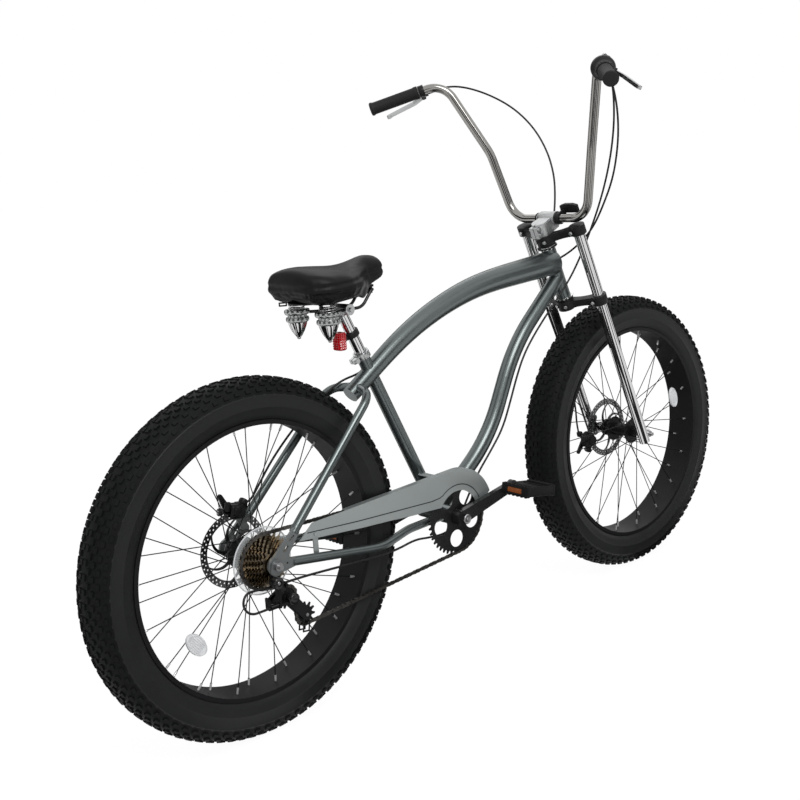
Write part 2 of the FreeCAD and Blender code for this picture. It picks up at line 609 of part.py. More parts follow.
def chain_guard():
    """The chain guard: outer plate round the chain wheel, a top lip, a strut, its screw and a front bracket."""
    outer = -(size("guard_plane") + size("guard_wall"))
    inner = -size("guard_plane")
    radius = size("guard_radius")
    arch = size("guard_arch_radius")
    lip = size("guard_flange")

    def at(angle, reach):
        turn = math.radians(angle)
        return BRACKET + V(reach * math.cos(turn), 0, reach * math.sin(turn))

    rear_top = V(-512, 0, 427)
    rear_tip = V(-547, 0, 397)
    lower_rear = V(-388, 0, 381)
    top_angle = 92
    front_angle = 19
    corners = [
        Part.LineSegment(rear_tip, rear_top).toShape(),
        Part.LineSegment(rear_top, at(top_angle, radius)).toShape(),
        Part.Arc(at(top_angle, radius), at((top_angle + front_angle) / 2, radius),
                 at(front_angle, radius)).toShape(),
        Part.LineSegment(at(front_angle, radius), at(14, arch + 28)).toShape(),
        Part.LineSegment(at(14, arch + 28), at(24, arch)).toShape(),
        Part.Arc(at(24, arch), at(90, arch), at(146, arch)).toShape(),
        Part.LineSegment(at(146, arch), lower_rear).toShape(),
        Part.LineSegment(lower_rear, rear_tip).toShape(),
    ]
    face = Part.Face(Part.Wire(corners))
    face.translate(V(0, inner, 0))
    plate = face.extrude(V(0, outer - inner, 0))
    lip_rear = rear_top + (at(top_angle, radius) - rear_top) * 0.22
    wall = size("guard_wall")
    inner_radius = radius - wall
    drop = V(0, 0, -wall)
    strip = Part.Wire([
        Part.LineSegment(lip_rear, at(top_angle, radius)).toShape(),
        Part.Arc(at(top_angle, radius), at((top_angle + front_angle) / 2, radius),
                 at(front_angle, radius)).toShape(),
        Part.LineSegment(at(front_angle, radius), at(front_angle, inner_radius)).toShape(),
        Part.Arc(at(front_angle, inner_radius), at((top_angle + front_angle) / 2, inner_radius),
                 at(top_angle, inner_radius)).toShape(),
        Part.LineSegment(at(top_angle, inner_radius), lip_rear + drop).toShape(),
        Part.LineSegment(lip_rear + drop, lip_rear).toShape(),
    ])
    lip_face = Part.Face(strip)
    lip_face.translate(V(0, inner, 0))
    plate = plate.fuse(lip_face.extrude(V(0, lip, 0)))
    screw_place = V(-505, 0, 402)
    hole = y_rod(screw_place.x, screw_place.z, 2.5 + FIT, outer - 1, inner + 6)
    plate = plate.cut(hole)
    strut = box(V(screw_place.x - 6, inner, 345), V(screw_place.x + 6, inner + 3, screw_place.z + 8)).cut(hole)
    stay = swept(bent_path([V(-235, -53, 333), V(-335, -76, 325), V(REAR.x + 42, -size("stay_dropout_offset"), REAR.z - 5)],
                           [180]), size("stay_radius") + FIT)
    strut = sorted(strut.cut(stay).Solids, key=lambda solid: solid.BoundBox.ZMax)[-1]
    screw = y_rod(screw_place.x, screw_place.z, 2.5, outer, inner + 5)
    screw = screw.fuse(y_rod(screw_place.x, screw_place.z, 5, outer - 2.5, outer))
    rise = at(top_angle, radius).z
    seat_x = BRACKET.x - (rise - BRACKET.z) / math.tan(SEAT_ANGLE)
    tab = box(V(seat_x - 8, inner + 8, rise - 8), V(seat_x + 8, 0, rise - 5.5)).cut(seat_solid)
    tab = sorted(tab.Solids, key=lambda solid: solid.BoundBox.YMin)[0]
    post = box(V(seat_x - 8, inner + 8, rise - 5.5), V(seat_x + 8, inner + 12, rise - 3.8))
    return [plate, strut, screw, tab.fuse(post)]


keep_shape("chain_guard", chain_guard())


CABLE_STOP_BACK = 26


def caliper(centre, seat, angle, anchor, carrier, carrier_y):
    """A disc caliper astride the rotor, with its bracket to the anchor plate; angle is its place round the axle."""
    length, depth, width = size("caliper_length"), size("caliper_depth"), size("caliper_width")
    middle = seat + size("rotor_thickness") / 2
    radius = size("caliper_radius")
    slot = size("caliper_slot") / 2
    low_corner = V(radius - depth / 2, middle - width / 2 + 4, -length / 2)
    block = box(low_corner, V(radius + depth / 2, middle + width / 2, length / 2))
    block = block.makeFillet(5, block.Edges)
    gap = turned_y([(middle - slot, 10), (middle + slot, 10), (middle + slot, size("rotor_radius") + 3),
                    (middle - slot, size("rotor_radius") + 3)])
    block = block.cut(gap)
    face = middle + width / 2
    stop = box(V(radius + 2, face - 6, -CABLE_STOP_BACK), V(radius + 14, face + 9, -12))
    pin = y_rod(radius, 8, 4, face - 2, face + 9)
    body = block.fuse(stop).fuse(pin)
    body.rotate(V(), ACROSS, -angle)
    body.translate(centre)
    turn = math.radians(angle)
    out = V(math.cos(turn), 0, math.sin(turn))
    side = V(-math.sin(turn), 0, math.cos(turn))
    pin_at = centre + out * radius + side * 8
    mouth = centre + out * (radius + 8) - side * (CABLE_STOP_BACK + FIT) + ACROSS * (face + 4.5)
    cable_end = [mouth - side * 22, mouth]
    foot = centre + out * (radius - depth / 2 + 6) - side * 8
    plate = side_plate(anchor, (foot.x, foot.z), 9, 7, middle + slot + 1, middle + slot + 6)
    plate = plate.fuse(y_rod(anchor[0], anchor[1], 7, middle + slot + 1, carrier_y))
    plate = plate.cut(body).cut(y_rod(centre.x, centre.z, size("cone_radius") + 2, 0, 200)).cut(carrier)
    plate = sorted(plate.Solids, key=lambda solid: solid.Volume)[-1]
    return body, plate, pin_at, face, cable_end


def caliper_arm(pin_at, y_face, angle):
    """The arm that the brake cable pulls, turning on the caliper's pin."""
    reach = V(math.cos(math.radians(angle)), 0, math.sin(math.radians(angle))) * 34
    low = y_face + GAP
    arm = side_plate((pin_at.x, pin_at.z), (pin_at.x + reach.x, pin_at.z + reach.z), 8, 5, low, low + 5)
    return arm.cut(y_rod(pin_at.x, pin_at.z, 4 + FIT, low - 1, low + 6))


REAR_CALIPER_ANGLE = 80
FRONT_CALIPER_ANGLE = 194
ARM_LEAD = 35
rear_anchor = (REAR.x + 38, REAR.z + 36)
rear_body, rear_bracket, rear_pin, rear_face, rear_cable_end = caliper(
    REAR, size("rear_rotor_offset"), REAR_CALIPER_ANGLE, rear_anchor, dropouts[1], size("dropout_inner"))
keep_shape("rear_brake_caliper", [rear_body, rear_bracket])
keep_shape("rear_caliper_arm", caliper_arm(rear_pin, rear_face, REAR_CALIPER_ANGLE + ARM_LEAD))
leg_line = V(size("leg_rake"), size("leg_offset"), 0)
leg_foot, leg_head = STEERING.multVec(leg_line - UP * 60), STEERING.multVec(leg_line + UP * 600)
leg_solid = rod(leg_foot, leg_head, size("leg_diameter") / 2)
leg_anchor = STEERING.multVec(leg_line + UP * 24)
front_anchor = (leg_anchor.x, leg_anchor.z)
front_body, front_bracket, front_pin, front_face, front_cable_end = caliper(
    FRONT, size("front_rotor_offset"), FRONT_CALIPER_ANGLE, front_anchor, leg_solid, size("leg_offset"))
keep_shape("front_brake_caliper", [front_body, front_bracket])
keep_shape("front_caliper_arm", caliper_arm(front_pin, front_face, FRONT_CALIPER_ANGLE + ARM_LEAD))

# Fork, stem and handlebar, in the steering frame: X ahead of the steering axis, Y left, Z up along it.
LOWER_TOP = size("head_tube_bottom") - size("cup_height") - GAP
LOWER_BOTTOM = LOWER_TOP - size("crown_thickness")
UPPER_BOTTOM = HEAD_TOP + size("cup_height") + GAP
UPPER_TOP = UPPER_BOTTOM + size("crown_thickness")
STEM_TOP = UPPER_TOP + size("stem_height")
LEG_TOP = UPPER_TOP - 6
LEG = size("leg_diameter") / 2
STEERER = size("steerer_diameter") / 2

steerer_place = along(STEER_FOOT + STEER_UP * LOWER_BOTTOM, STEER_UP)
STEERER_LENGTH = "Sizes.head_tube_length + 2 * Sizes.cup_height + 2 * Sizes.moving_gap + 2 * Sizes.crown_thickness"
keep("steerer_tube", ring_body("steerer_tube", "Sizes.steerer_diameter", "Sizes.steerer_bore",
                               STEERER_LENGTH + " + Sizes.stem_height - Sizes.stem_cap", steerer_place))


def crown_arm(side, middle, rise):
    """A waisted arm from the steerer's boss out and up to a leg's boss."""
    run = V(size("leg_rake"), side * size("leg_offset"), rise)
    flat = V(-run.y, run.x, 0).normalize()
    sections = []
    for share, half_width, half_height in ((0.1, 15, 11), (0.5, 10.5, 9), (0.9, 14, 11)):
        centre = V(0, 0, middle) + run * share
        corners = [centre + flat * (across * half_width) + UP * (level * half_height)
                   for across, level in ((-1, -1), (1, -1), (1, 1), (-1, 1))]
        sections.append(Part.makePolygon(corners + corners[:1]))
    return Part.makeLoft(sections, True, False)


def crown(low, high, rise, leg_top):
    """A crown: boss on the steerer, a waisted arm to each leg and the leg's boss, higher by the rise."""
    middle = (low + high) / 2
    solid = rod(V(0, 0, low), V(0, 0, high), size("crown_boss_radius"))
    legs = [V(size("leg_rake"), side * size("leg_offset"), 0) for side in SIDES]
    for side, leg in zip(SIDES, legs):
        boss = rod(leg + UP * (low + rise + 1), leg + UP * (high + rise - 1), size("crown_end_radius"))
        solid = solid.fuse([crown_arm(side, middle, rise), boss])
    solid = solid.cut(rod(V(0, 0, low - 1), V(0, 0, high + 1), STEERER + FIT))
    for leg in legs:
        solid = solid.cut(rod(leg + UP * (low - 1), leg + UP * leg_top, LEG + FIT))
    return solid


def crown_bolts(middle, rise):
    """The pinch bolt heads at the back of a crown."""
    heads = []
    for side in SIDES:
        x = size("leg_rake") - size("crown_end_radius")
        place = V(x - 1, side * (size("leg_offset") - 4), middle + rise)
        heads.append(rod(place - V(3.5, 0, 0), place + V(0.6, 0, 0), 4.5))
    return heads


bolts = crown_bolts((LOWER_BOTTOM + LOWER_TOP) / 2, 0)
bolts += crown_bolts((UPPER_BOTTOM + UPPER_TOP) / 2, size("crown_rise"))
upper_crown = crown(UPPER_BOTTOM, UPPER_TOP, size("crown_rise"), LEG_TOP + FIT)
lower_crown = crown(LOWER_BOTTOM, LOWER_TOP, 0, LOWER_TOP + 1)
bolts = [bolt.cut(upper_crown).cut(lower_crown) for bolt in bolts]
keep_shape("fork_crowns", [lower_crown, upper_crown] + [sorted(b.Solids, key=lambda s: s.Volume)[-1] for b in bolts],
           STEERING)

AXLE_LEVEL = -size("fork_rake") / math.tan(HEAD_ANGLE)


def fork_leg(side):
    """A straight chrome leg with a forward dropout plate for the axle."""
    foot = V(size("leg_rake"), side * size("leg_offset"), AXLE_LEVEL - 8)
    top = V(size("leg_rake"), side * size("leg_offset"), LEG_TOP)
    leg = rod(foot, top, LEG).cut(rod(foot + UP * 20, top + UP, LEG - size("leg_wall")))
    low, high = sorted((side * size("fork_dropout_offset"), side * FORK_OUTER))
    axle = (size("fork_rake"), AXLE_LEVEL)
    plate = side_plate(axle, (size("leg_rake"), AXLE_LEVEL + 10), 13, 14, low, high)
    leg = leg.fuse(plate)
    radius = size("axle_radius") + FIT
    nut = y_rod(size("fork_rake"), AXLE_LEVEL, size("axle_nut_radius") + 1, side * FORK_OUTER, side * 120)
    leg = leg.cut(nut)
    return leg.cut(y_rod(size("fork_rake"), AXLE_LEVEL, radius, low - 1, high + 1))


keep_shape("fork_legs", [fork_leg(side) for side in SIDES], STEERING)

BAR = size("bar_diameter") / 2
BAR_LEVEL = UPPER_TOP + size("stem_height") * 0.72


def stem():
    """The stem: a split clamp on the steerer, a short extension and a split clamp on the bar, with its bolts."""
    reach = size("stem_reach")
    block = arm_plate((0, 0), (reach, 0), 21, 17, UPPER_TOP, STEM_TOP)
    neck = box(V(0, -22, UPPER_TOP + 3), V(reach, 22, STEM_TOP - 3))
    clamp = rod(V(reach, -25, BAR_LEVEL), V(reach, 25, BAR_LEVEL), BAR + 7)
    ears = box(V(-30, -12, UPPER_TOP + 2), V(-10, 12, STEM_TOP - 4))
    solid = block.fuse(neck).fuse(clamp).fuse(ears)
    solid = solid.cut(rod(V(0, 0, UPPER_TOP - 1), V(0, 0, STEM_TOP - size("stem_cap") + FIT), STEERER + FIT))
    solid = solid.cut(rod(V(reach, -60, BAR_LEVEL), V(reach, 60, BAR_LEVEL), BAR + FIT))
    solid = solid.cut(box(V(-60, -1, UPPER_TOP - 1), V(-STEERER + 1, 1, STEM_TOP + 1)))
    solid = solid.cut(box(V(reach, -60, BAR_LEVEL - 1), V(reach + 60, 60, BAR_LEVEL + 1)))
    pieces = []
    for level in (UPPER_TOP + 9, STEM_TOP - 11):
        start, end = V(-23, -16.5, level), V(-23, 16.5, level)
        solid = solid.cut(rod(V(-23, -12.5, level), V(-23, 12.5, level), 2.5 + FIT))
        head = rod(start, V(-23, -12, level), 4.2)
        shank = rod(V(-23, -12, level), V(-23, 12, level), 2.5)
        pieces.append(head.fuse(shank).fuse(rod(V(-23, 12, level), end, 4.2)))
    return [solid] + pieces


keep_shape("stem", stem(), STEERING)


def bar_point(forward, half, rise, side):
    """A point of the handlebar's centre line in the steering frame; rise is above the stem clamp."""
    return V(forward, side * half, BAR_LEVEL + rise)


def bar_corners(side):
    """The centre line of one half of the handlebar, from the stem outwards."""
    end_half, rise = size("bar_end_half"), size("bar_top_rise")
    return [bar_point(size("stem_reach"), size("bar_low_half"), 0, side),
            bar_point(size("bar_kink_forward"), size("bar_kink_half"), size("bar_kink_rise"), side),
            bar_point(size("bar_top_forward"), end_half - size("bar_sweep_width"), rise, side),
            bar_point(size("bar_end_forward"), end_half, rise, side)]


bar_route = bar_corners(1)[::-1] + bar_corners(-1)
bend = size("bar_bend_radius")
bar_radii = [bend, 2.5 * bend, bend, bend, 2.5 * bend, bend]
keep_shape("handlebar", bent_tube(bar_route, bar_radii, BAR, size("bar_wall")), STEERING)


def grip_axis(side):
    """The bar's end and the unit vector from it back along the grip."""
    corners = bar_corners(side)
    return corners[-1], (corners[-2] - corners[-1]).normalize()


def capped_grip(side, length):
    """A rubber grip with a closed, rounded end."""
    tip, inward = grip_axis(side)
    outer = size("grip_diameter") / 2
    inner = BAR + FIT
    solid = turned_z([(-4, 0), (-4, outer - 3), (-1, outer), (length, outer), (length, inner), (-FIT, inner),
                      (-FIT, 0)])
    solid.Placement = along(tip, inward)
    return solid


keep_shape("grips", [capped_grip(-1, size("right_grip_length")), capped_grip(1, size("grip_length"))], STEERING)
DRUM_START = size("right_grip_length") + GAP
DRUM_END = DRUM_START + size("drum_length")


def shifter_drum():
    """The twist drum: a slim grip part that widens to a round case beside the brake bracket."""
    tip, inward = grip_axis(-1)
    wide = size("drum_diameter") / 2
    inner = BAR + FIT
    drum = turned_z([(DRUM_START, inner), (DRUM_END, inner), (DRUM_END, wide - 2), (DRUM_END - 4, wide),
                     (DRUM_END - 14, wide), (DRUM_END - 20, wide - 5), (DRUM_START, wide - 8)])
    drum.Placement = along(tip, inward)
    return drum


keep_shape("shifter_drum", shifter_drum(), STEERING)
BRACKET_START = size("grip_length") + 1


def lever_frame(side):
    """The lever's pivot frame: X outwards along the grip, Y away from the bar, Z its pivot axis."""
    tip, inward = grip_axis(side)
    outward = inward * -1
    level = V(outward.y, -outward.x, 0) * side
    drop = math.radians(size("lever_drop_angle"))
    away = level * math.cos(drop) - UP * math.sin(drop)
    pivot = tip + inward * (BRACKET_START + size("bracket_length") / 2)
    matrix = FreeCAD.Matrix(outward.x, away.x, outward.cross(away).x, pivot.x,
                            outward.y, away.y, outward.cross(away).y, pivot.y,
                            outward.z, away.z, outward.cross(away).z, pivot.z, 0, 0, 0, 1)
    return FreeCAD.Placement(matrix)


PIVOT_OUT = 30
STOP_BACK = 34
STOP_OUT = 19
SHIFT_STOP_OUT = 4
SHIFT_STOP_RISE = 19
EAR_INNER = size("lever_thickness") / 2 + GAP


def lever_bracket(side):
    """A clamp ring on the bar with two ears, the lever's pivot pin and the cable stop."""
    half = size("bracket_length") / 2
    ring = Part.makeCylinder(size("bracket_diameter") / 2, 2 * half, V(-half, 0, 0), V(1, 0, 0))
    ears = []
    for sign in SIDES:
        low, high = sorted((sign * EAR_INNER, sign * (EAR_INNER + 3)))
        ears.append(arm_plate((0, 4), (0, PIVOT_OUT), half - 1, 6, low, high))
    pieces = ears + [Part.makeCylinder(5, 26, V(-STOP_BACK, STOP_OUT, 0), V(1, 0, 0))]
    pieces.append(box(V(-14, 12, -EAR_INNER - 2), V(1 - half, 25, EAR_INNER + 2)))
    if side < 0:
        pieces.append(Part.makeCylinder(5, 26, V(-STOP_BACK, SHIFT_STOP_OUT, SHIFT_STOP_RISE), V(1, 0, 0)))
        pieces.append(box(V(-14, -4, 12), V(1 - half, 11, 25)))
    solid = ring.fuse(pieces)
    solid = solid.cut(Part.makeCylinder(BAR + FIT, 80, V(-40, 0, 0), V(1, 0, 0)))
    solid = solid.fuse(Part.makeCylinder(3, 2 * EAR_INNER + 6, V(0, PIVOT_OUT, -EAR_INNER - 3), UP))
    solid.Placement = lever_frame(side)
    return solid


def brake_lever(side):
    """A bent two finger blade with a round tip, turning on the bracket's pin."""
    half = size("lever_thickness") / 2
    reach = size("lever_reach")
    length = size("lever_length")
    end = reach + size("lever_spread")
    blade = arm_plate((0, PIVOT_OUT), (30, reach), 6, 5.5, -half, half)
    blade = blade.fuse(arm_plate((30, reach), (length, end), 5.5, 4.5, -half, half))
    blade = blade.fuse(arm_plate((length, end), (length + 8, end + 4), 4.5, 5.5, -half, half))
    blade = blade.cut(Part.makeCylinder(3 + FIT, 4 * half, V(0, PIVOT_OUT, -2 * half), UP))
    blade.Placement = lever_frame(side)
    return blade


keep_shape("lever_brackets", [lever_bracket(side) for side in SIDES], STEERING)
keep_shape("left_brake_lever", brake_lever(1), STEERING)
keep_shape("right_brake_lever", brake_lever(-1), STEERING)


def front_reflector():
    """A reflector on a clamp ring beside the stem."""
    reach = size("stem_reach")
    ring = rod(V(reach, -38, BAR_LEVEL), V(reach, -28, BAR_LEVEL), BAR + 4)
    arm = box(V(reach + 8, -38, BAR_LEVEL - 4), V(reach + 24, -28, BAR_LEVEL + 14))
    outline = [(-27, -12), (27, -12), (27, 8), (12, 12), (-12, 12), (-27, 8)]
    corners = [V(reach + 20, -52 + across, BAR_LEVEL + 17 + level) for across, level in outline]
    plate = Part.Face(Part.makePolygon(corners + corners[:1])).extrude(V(9, 0, 0))
    solid = ring.fuse(arm).fuse(plate)
    return solid.cut(rod(V(reach, -60, BAR_LEVEL), V(reach, 0, BAR_LEVEL), BAR + FIT))


keep_shape("front_reflector", front_reflector(), STEERING)

# Seat post and saddle.
POST_FOOT = BRACKET + SEAT_UP * (size("seat_tube_top") - size("post_insertion"))
keep("seatpost", ring_body("seatpost", "Sizes.post_diameter", "Sizes.post_diameter - 4",
                           "Sizes.post_insertion + Sizes.post_height", along(POST_FOOT, SEAT_UP)))
POST_TOP = BRACKET + SEAT_UP * (size("seat_tube_top") + size("post_height"))
RAIL = size("rail_diameter") / 2
RAIL_LEVEL = POST_TOP.z + 12
RAIL_HALF = 20


def rail_route(side):
    """A rail: from the spring ring forward through the clamp, then up to the nose pin."""
    return [V(size("spring_x") + size("ring_radius") - 3, side * (size("spring_half") - 8), RAIL_LEVEL),
            V(-365, side * RAIL_HALF, RAIL_LEVEL), V(-292, side * RAIL_HALF, RAIL_LEVEL), V(-262, side * RAIL_HALF, 878)]


def saddle_rails():
    """Two sprung rails and the pin under the nose that they carry."""
    solid = rod(V(-262, -RAIL_HALF - RAIL, 878), V(-262, RAIL_HALF + RAIL, 878), RAIL)
    for side in SIDES:
        solid = solid.fuse(swept(bent_path(rail_route(side), [60, 30]), RAIL))
    return solid


rails = saddle_rails()


def spring_cups():
    """Under each rear spring a ring plate and a cone cover."""
    cups = []
    bottom = size("spring_bottom") - GAP
    ring = size("ring_height")
    for side in SIDES:
        place = V(size("spring_x"), side * size("spring_half"), bottom - ring)
        plate = turned_z([(0, 0), (0, size("cone_top_radius")), (2, size("ring_radius")), (ring, size("ring_radius")),
                          (ring, 0)])
        cone = turned_z([(-size("cone_height"), 0), (-size("cone_height"), 3), (-8, size("cone_top_radius") - 6),
                         (0, size("cone_top_radius") - 2), (0, 0)])
        for piece in (plate, cone):
            piece.translate(place)
        cups += [plate.cut(rails), cone]
    return cups


keep_shape("saddle_rails", rails)
keep_shape("saddle_spring_cones", spring_cups())


def helix(radius, pitch, turns, wire):
    """A helical wire built from biarcs of a quarter turn; prints its least gap to itself."""
    steps = int(round(turns * 4))
    rise = pitch / 4

    def point(step):
        angle = step * math.pi / 2
        return V(radius * math.cos(angle), radius * math.sin(angle), step * rise)

    def heading(step):
        angle = step * math.pi / 2
        return V(-radius * math.sin(angle), radius * math.cos(angle), pitch / (2 * math.pi)).normalize()

    edges = []
    for step in range(steps):
        first, last = point(step), point(step + 1)
        leave, reach = heading(step), heading(step + 1)
        chord = last - first
        both = chord.dot(leave + reach)
        spread = 2 * (1 - leave.dot(reach))
        run = (-both + math.sqrt(both**2 + 2 * spread * chord.dot(chord))) / spread
        joint = (first + leave * run + last - reach * run) * 0.5
        edges.append(tangent_arc(first, first + leave * run, joint))
        edges.append(tangent_arc(joint, last - reach * run, last))
    path = Part.Wire(edges)
    points = path.discretize(Distance=2)
    skip = int(math.pi * radius / 2)
    least = min((a - b).Length for i, a in enumerate(points) for b in points[i + skip:])
    print(f"saddle spring: least gap between turns {least - wire:.2f} mm")
    return swept(path, wire / 2)


def saddle_springs():
    """Two rear coil springs between the ring plates and the saddle's base."""
    wire = size("spring_wire")
    rise = size("spring_height") - wire - GAP
    coils = []
    for side in SIDES:
        coil = helix(size("spring_radius"), rise / size("spring_turns"), size("spring_turns"), wire)
        coil.translate(V(size("spring_x"), side * size("spring_half"), size("spring_bottom") + wire / 2))
        coils.append(coil)
    return coils


keep_shape("saddle_springs", saddle_springs())


def saddle_clamp():
    """The clamp head on the seat post: a barrel across the post and two grooved jaws on the rails."""
    barrel = rod(V(POST_TOP.x, -RAIL_HALF - 9, RAIL_LEVEL), V(POST_TOP.x, RAIL_HALF + 9, RAIL_LEVEL), 12)
    neck = rod(POST_TOP, POST_TOP + SEAT_UP * 12, size("post_diameter") / 2 - 1)
    bolt = rod(V(POST_TOP.x, -RAIL_HALF - 15, RAIL_LEVEL), V(POST_TOP.x, RAIL_HALF + 15, RAIL_LEVEL), 5)
    post = rod(POST_FOOT, POST_TOP, size("post_diameter") / 2)
    return barrel.fuse(neck).fuse(bolt).cut(rails).cut(post)


keep_shape("saddle_clamp", saddle_clamp())

# Saddle sections from rear to nose: place along X, half width, bottom and top of the padding.
SADDLE_SECTIONS = (
    (0.0, 66, 884, 918), (0.06, 98, 876, 936), (0.2, 120, 872, 942), (0.4, 112, 872, 938), (0.58, 76, 874, 936),
    (0.74, 50, 880, 944), (0.9, 41, 888, 951), (0.97, 34, 896, 946), (1.0, 20, 906, 934),
)


def saddle_cushion():
    """The padding: crowned top, drawn in sides and a raised nose, lofted through arcs and lines."""
    rear, nose = size("saddle_rear_x"), size("saddle_nose_x")
    rings = []
    for share, half, bottom, top in SADDLE_SECTIONS:
        x = rear + (nose - rear) * share
        shoulder = top - (top - bottom) * 0.22
        middle = bottom + (top - bottom) * 0.4
        low_right, low_left = V(x, -0.86 * half, bottom), V(x, 0.86 * half, bottom)
        high_right, high_left = V(x, -0.84 * half, shoulder), V(x, 0.84 * half, shoulder)
        rings.append(Part.Wire([
            Part.LineSegment(low_left, low_right).toShape(),
            Part.Arc(low_right, V(x, -half, middle), high_right).toShape(),
            Part.Arc(high_right, V(x, 0, top), high_left).toShape(),
            Part.Arc(high_left, V(x, half, middle), low_left).toShape(),
        ]))
    return Part.makeLoft(rings, True, False)


def saddle_base():
    """The moulded pan under the padding, with a tongue that rests on the rails' nose pin."""
    low = size("saddle_base_z")
    wall = size("saddle_base_wall")
    pan = arm_plate((size("spring_x") - 8, 0), (-320, 0), 62, 40, low, low + wall)
    for side in SIDES:
        pan = pan.fuse(arm_plate((size("spring_x") - 6, side * 62), (-350, side * 20), 32, 30, low, low + wall))
    tongue = box(V(-330, -12, low), V(-262, 12, low + wall))
    heel = box(V(-274, -12, low), V(-250, 12, 878 - RAIL - GAP))
    nose = box(V(-274, -12, 878 + RAIL + GAP), V(-246, 12, 887))
    side_wall = box(V(-254, -12, 868.5), V(-250, 12, 887))
    return pan.fuse([tongue, heel, nose, side_wall]).cut(rod(V(-262, -30, 878), V(-262, 30, 878), RAIL + GAP))


cushion = saddle_cushion()
base = saddle_base()
keep_shape("saddle_base", sorted(base.Solids, key=lambda solid: solid.Volume)[-1])
keep_shape("saddle_cushion", cushion.cut(base))


def tail_light():
    """The rear light: a clamp ring on the seat post, its arm, and the lamp with its lens."""
    level = size("seat_tube_top") + 42
    ring = turned_z([(0, size("post_diameter") / 2 + FIT), (14, size("post_diameter") / 2 + FIT),
                     (14, size("post_diameter") / 2 + 4), (0, size("post_diameter") / 2 + 4)])
    post = rod(V(0, 0, 0), V(0, 0, 14), size("post_diameter") / 2 + 2)
    ring = ring.fuse(box(V(-30, -6, 2), V(-14, 6, 12)).cut(post))
    ring.Placement = along(BRACKET + SEAT_UP * level, SEAT_UP)
    anchor = BRACKET + SEAT_UP * level + V(-34, 0, 0)
    case = box(anchor + V(-3, -13, -27), anchor + V(8, 13, 15))
    case = case.makeFillet(3, case.Edges).cut(ring)
    lens = box(anchor + V(-15, -12.5, -26), anchor + V(-3, 12.5, 14))
    lens = lens.makeFillet(3, [edge for edge in lens.Edges if edge.BoundBox.XMax < anchor.x - 3.1])
    return [ring, sorted(case.Solids, key=lambda solid: solid.Volume)[-1], lens]


keep_shape("tail_light", tail_light())

# Drive.
RING_PLANE = -size("chainline")
SPROCKET_PLANE = -size("sprocket_inner_plane")


def chainring():
    """The chain wheel: toothed rim, a web with five round windows and a bore on the crank boss."""
    disc = toothed_disc(int(size("chainring_teeth")), size("chainring_wall"), RING_PLANE)
    half = size("chainring_wall")
    for step in range(5):
        angle = math.radians(72 * step + 50)
        disc = disc.cut(y_rod(52 * math.cos(angle), 52 * math.sin(angle), 20, RING_PLANE - half, RING_PLANE + half))
    return disc.cut(y_rod(0, 0, size("crank_boss_radius") - 1 + FIT, RING_PLANE - half, RING_PLANE + half))


crank_place = FreeCAD.Placement(BRACKET, FreeCAD.Rotation())
keep_shape("chainring", chainring(), crank_place)
ARM_INNER = size("guard_plane") + size("guard_wall") + 2
PEDAL_ARM = ARM_INNER + size("crank_flare")


def crank_arm(side):
    """A crank arm: boss on the spindle, a flared arm and the pedal eye."""
    inner = side * ARM_INNER
    thick = size("crank_thickness")
    reach = side * -1 * size("crank_length")
    boss_start = side * (size("chainline") - 3) if side < 0 else inner
    boss = y_rod(0, 0, size("crank_boss_radius") - 1, boss_start, inner + side * thick)
    end_y = side * PEDAL_ARM
    eye = y_rod(reach, 0, size("crank_eye_radius"), end_y, end_y + side * thick)

    def section(x, y_start, half):
        corners = [V(x, y_start, -half), V(x, y_start + side * thick, -half), V(x, y_start + side * thick, half),
                   V(x, y_start, half)]
        return Part.makePolygon(corners + corners[:1])

    direction = 1 if reach > 0 else -1
    arm = Part.makeLoft([section(direction * 4, inner, 16), section(reach, end_y, 11)], True, True)
    arm = boss.fuse(arm).fuse(eye)
    arm = arm.cut(y_rod(0, 0, size("spindle_diameter") / 2 + FIT, -200, 200))
    return arm.cut(y_rod(reach, 0, size("pedal_axle_radius") + FIT, -200, 200))


def pedal_span(side):
    """Inner and outer Y of a pedal body."""
    inner = PEDAL_ARM + size("crank_thickness") + size("pedal_gap")
    return side * inner, side * (inner + size("pedal_width"))


CRANK_PIECES = [y_rod(0, 0, size("spindle_diameter") / 2, -size("spindle_half"), size("spindle_half"))]
CRANK_TURN = FreeCAD.Rotation(ACROSS, -size("crank_angle"))
for side in SIDES:
    CRANK_PIECES.append(crank_arm(side))
    reach = side * -1 * size("crank_length")
    span = pedal_span(side)
    CRANK_PIECES.append(y_rod(reach, 0, size("pedal_axle_radius"), side * PEDAL_ARM, span[1] - side * 8))
keep_shape("crank_arms", CRANK_PIECES, FreeCAD.Placement(BRACKET, CRANK_TURN))


def pedal(side):
    """A platform pedal: open cage with a centre barrel on its axle."""
    inner, outer = pedal_span(side)
    half_length, half_height = size("pedal_length") / 2, size("pedal_height") / 2
    body_block = box(V(-half_length, inner, -half_height), V(half_length, outer, half_height))
    body_block = body_block.makeFillet(3, body_block.Edges)
    for sign in SIDES:
        window = box(V(sign * 13, inner + side * 9, -20), V(sign * (half_length - 9), outer - side * 9, 20))
        body_block = body_block.cut(window)
    return body_block.cut(y_rod(0, 0, size("pedal_axle_radius") + FIT, inner - side, outer - side * 7.5))


for side, label in ((-1, "right_pedal"), (1, "left_pedal")):
    reach = side * -1 * size("crank_length")
    place = BRACKET + CRANK_TURN.multVec(V(reach, 0, 0))
    keep_shape(label, pedal(side), FreeCAD.Placement(place, FreeCAD.Rotation(ACROSS, 10)))


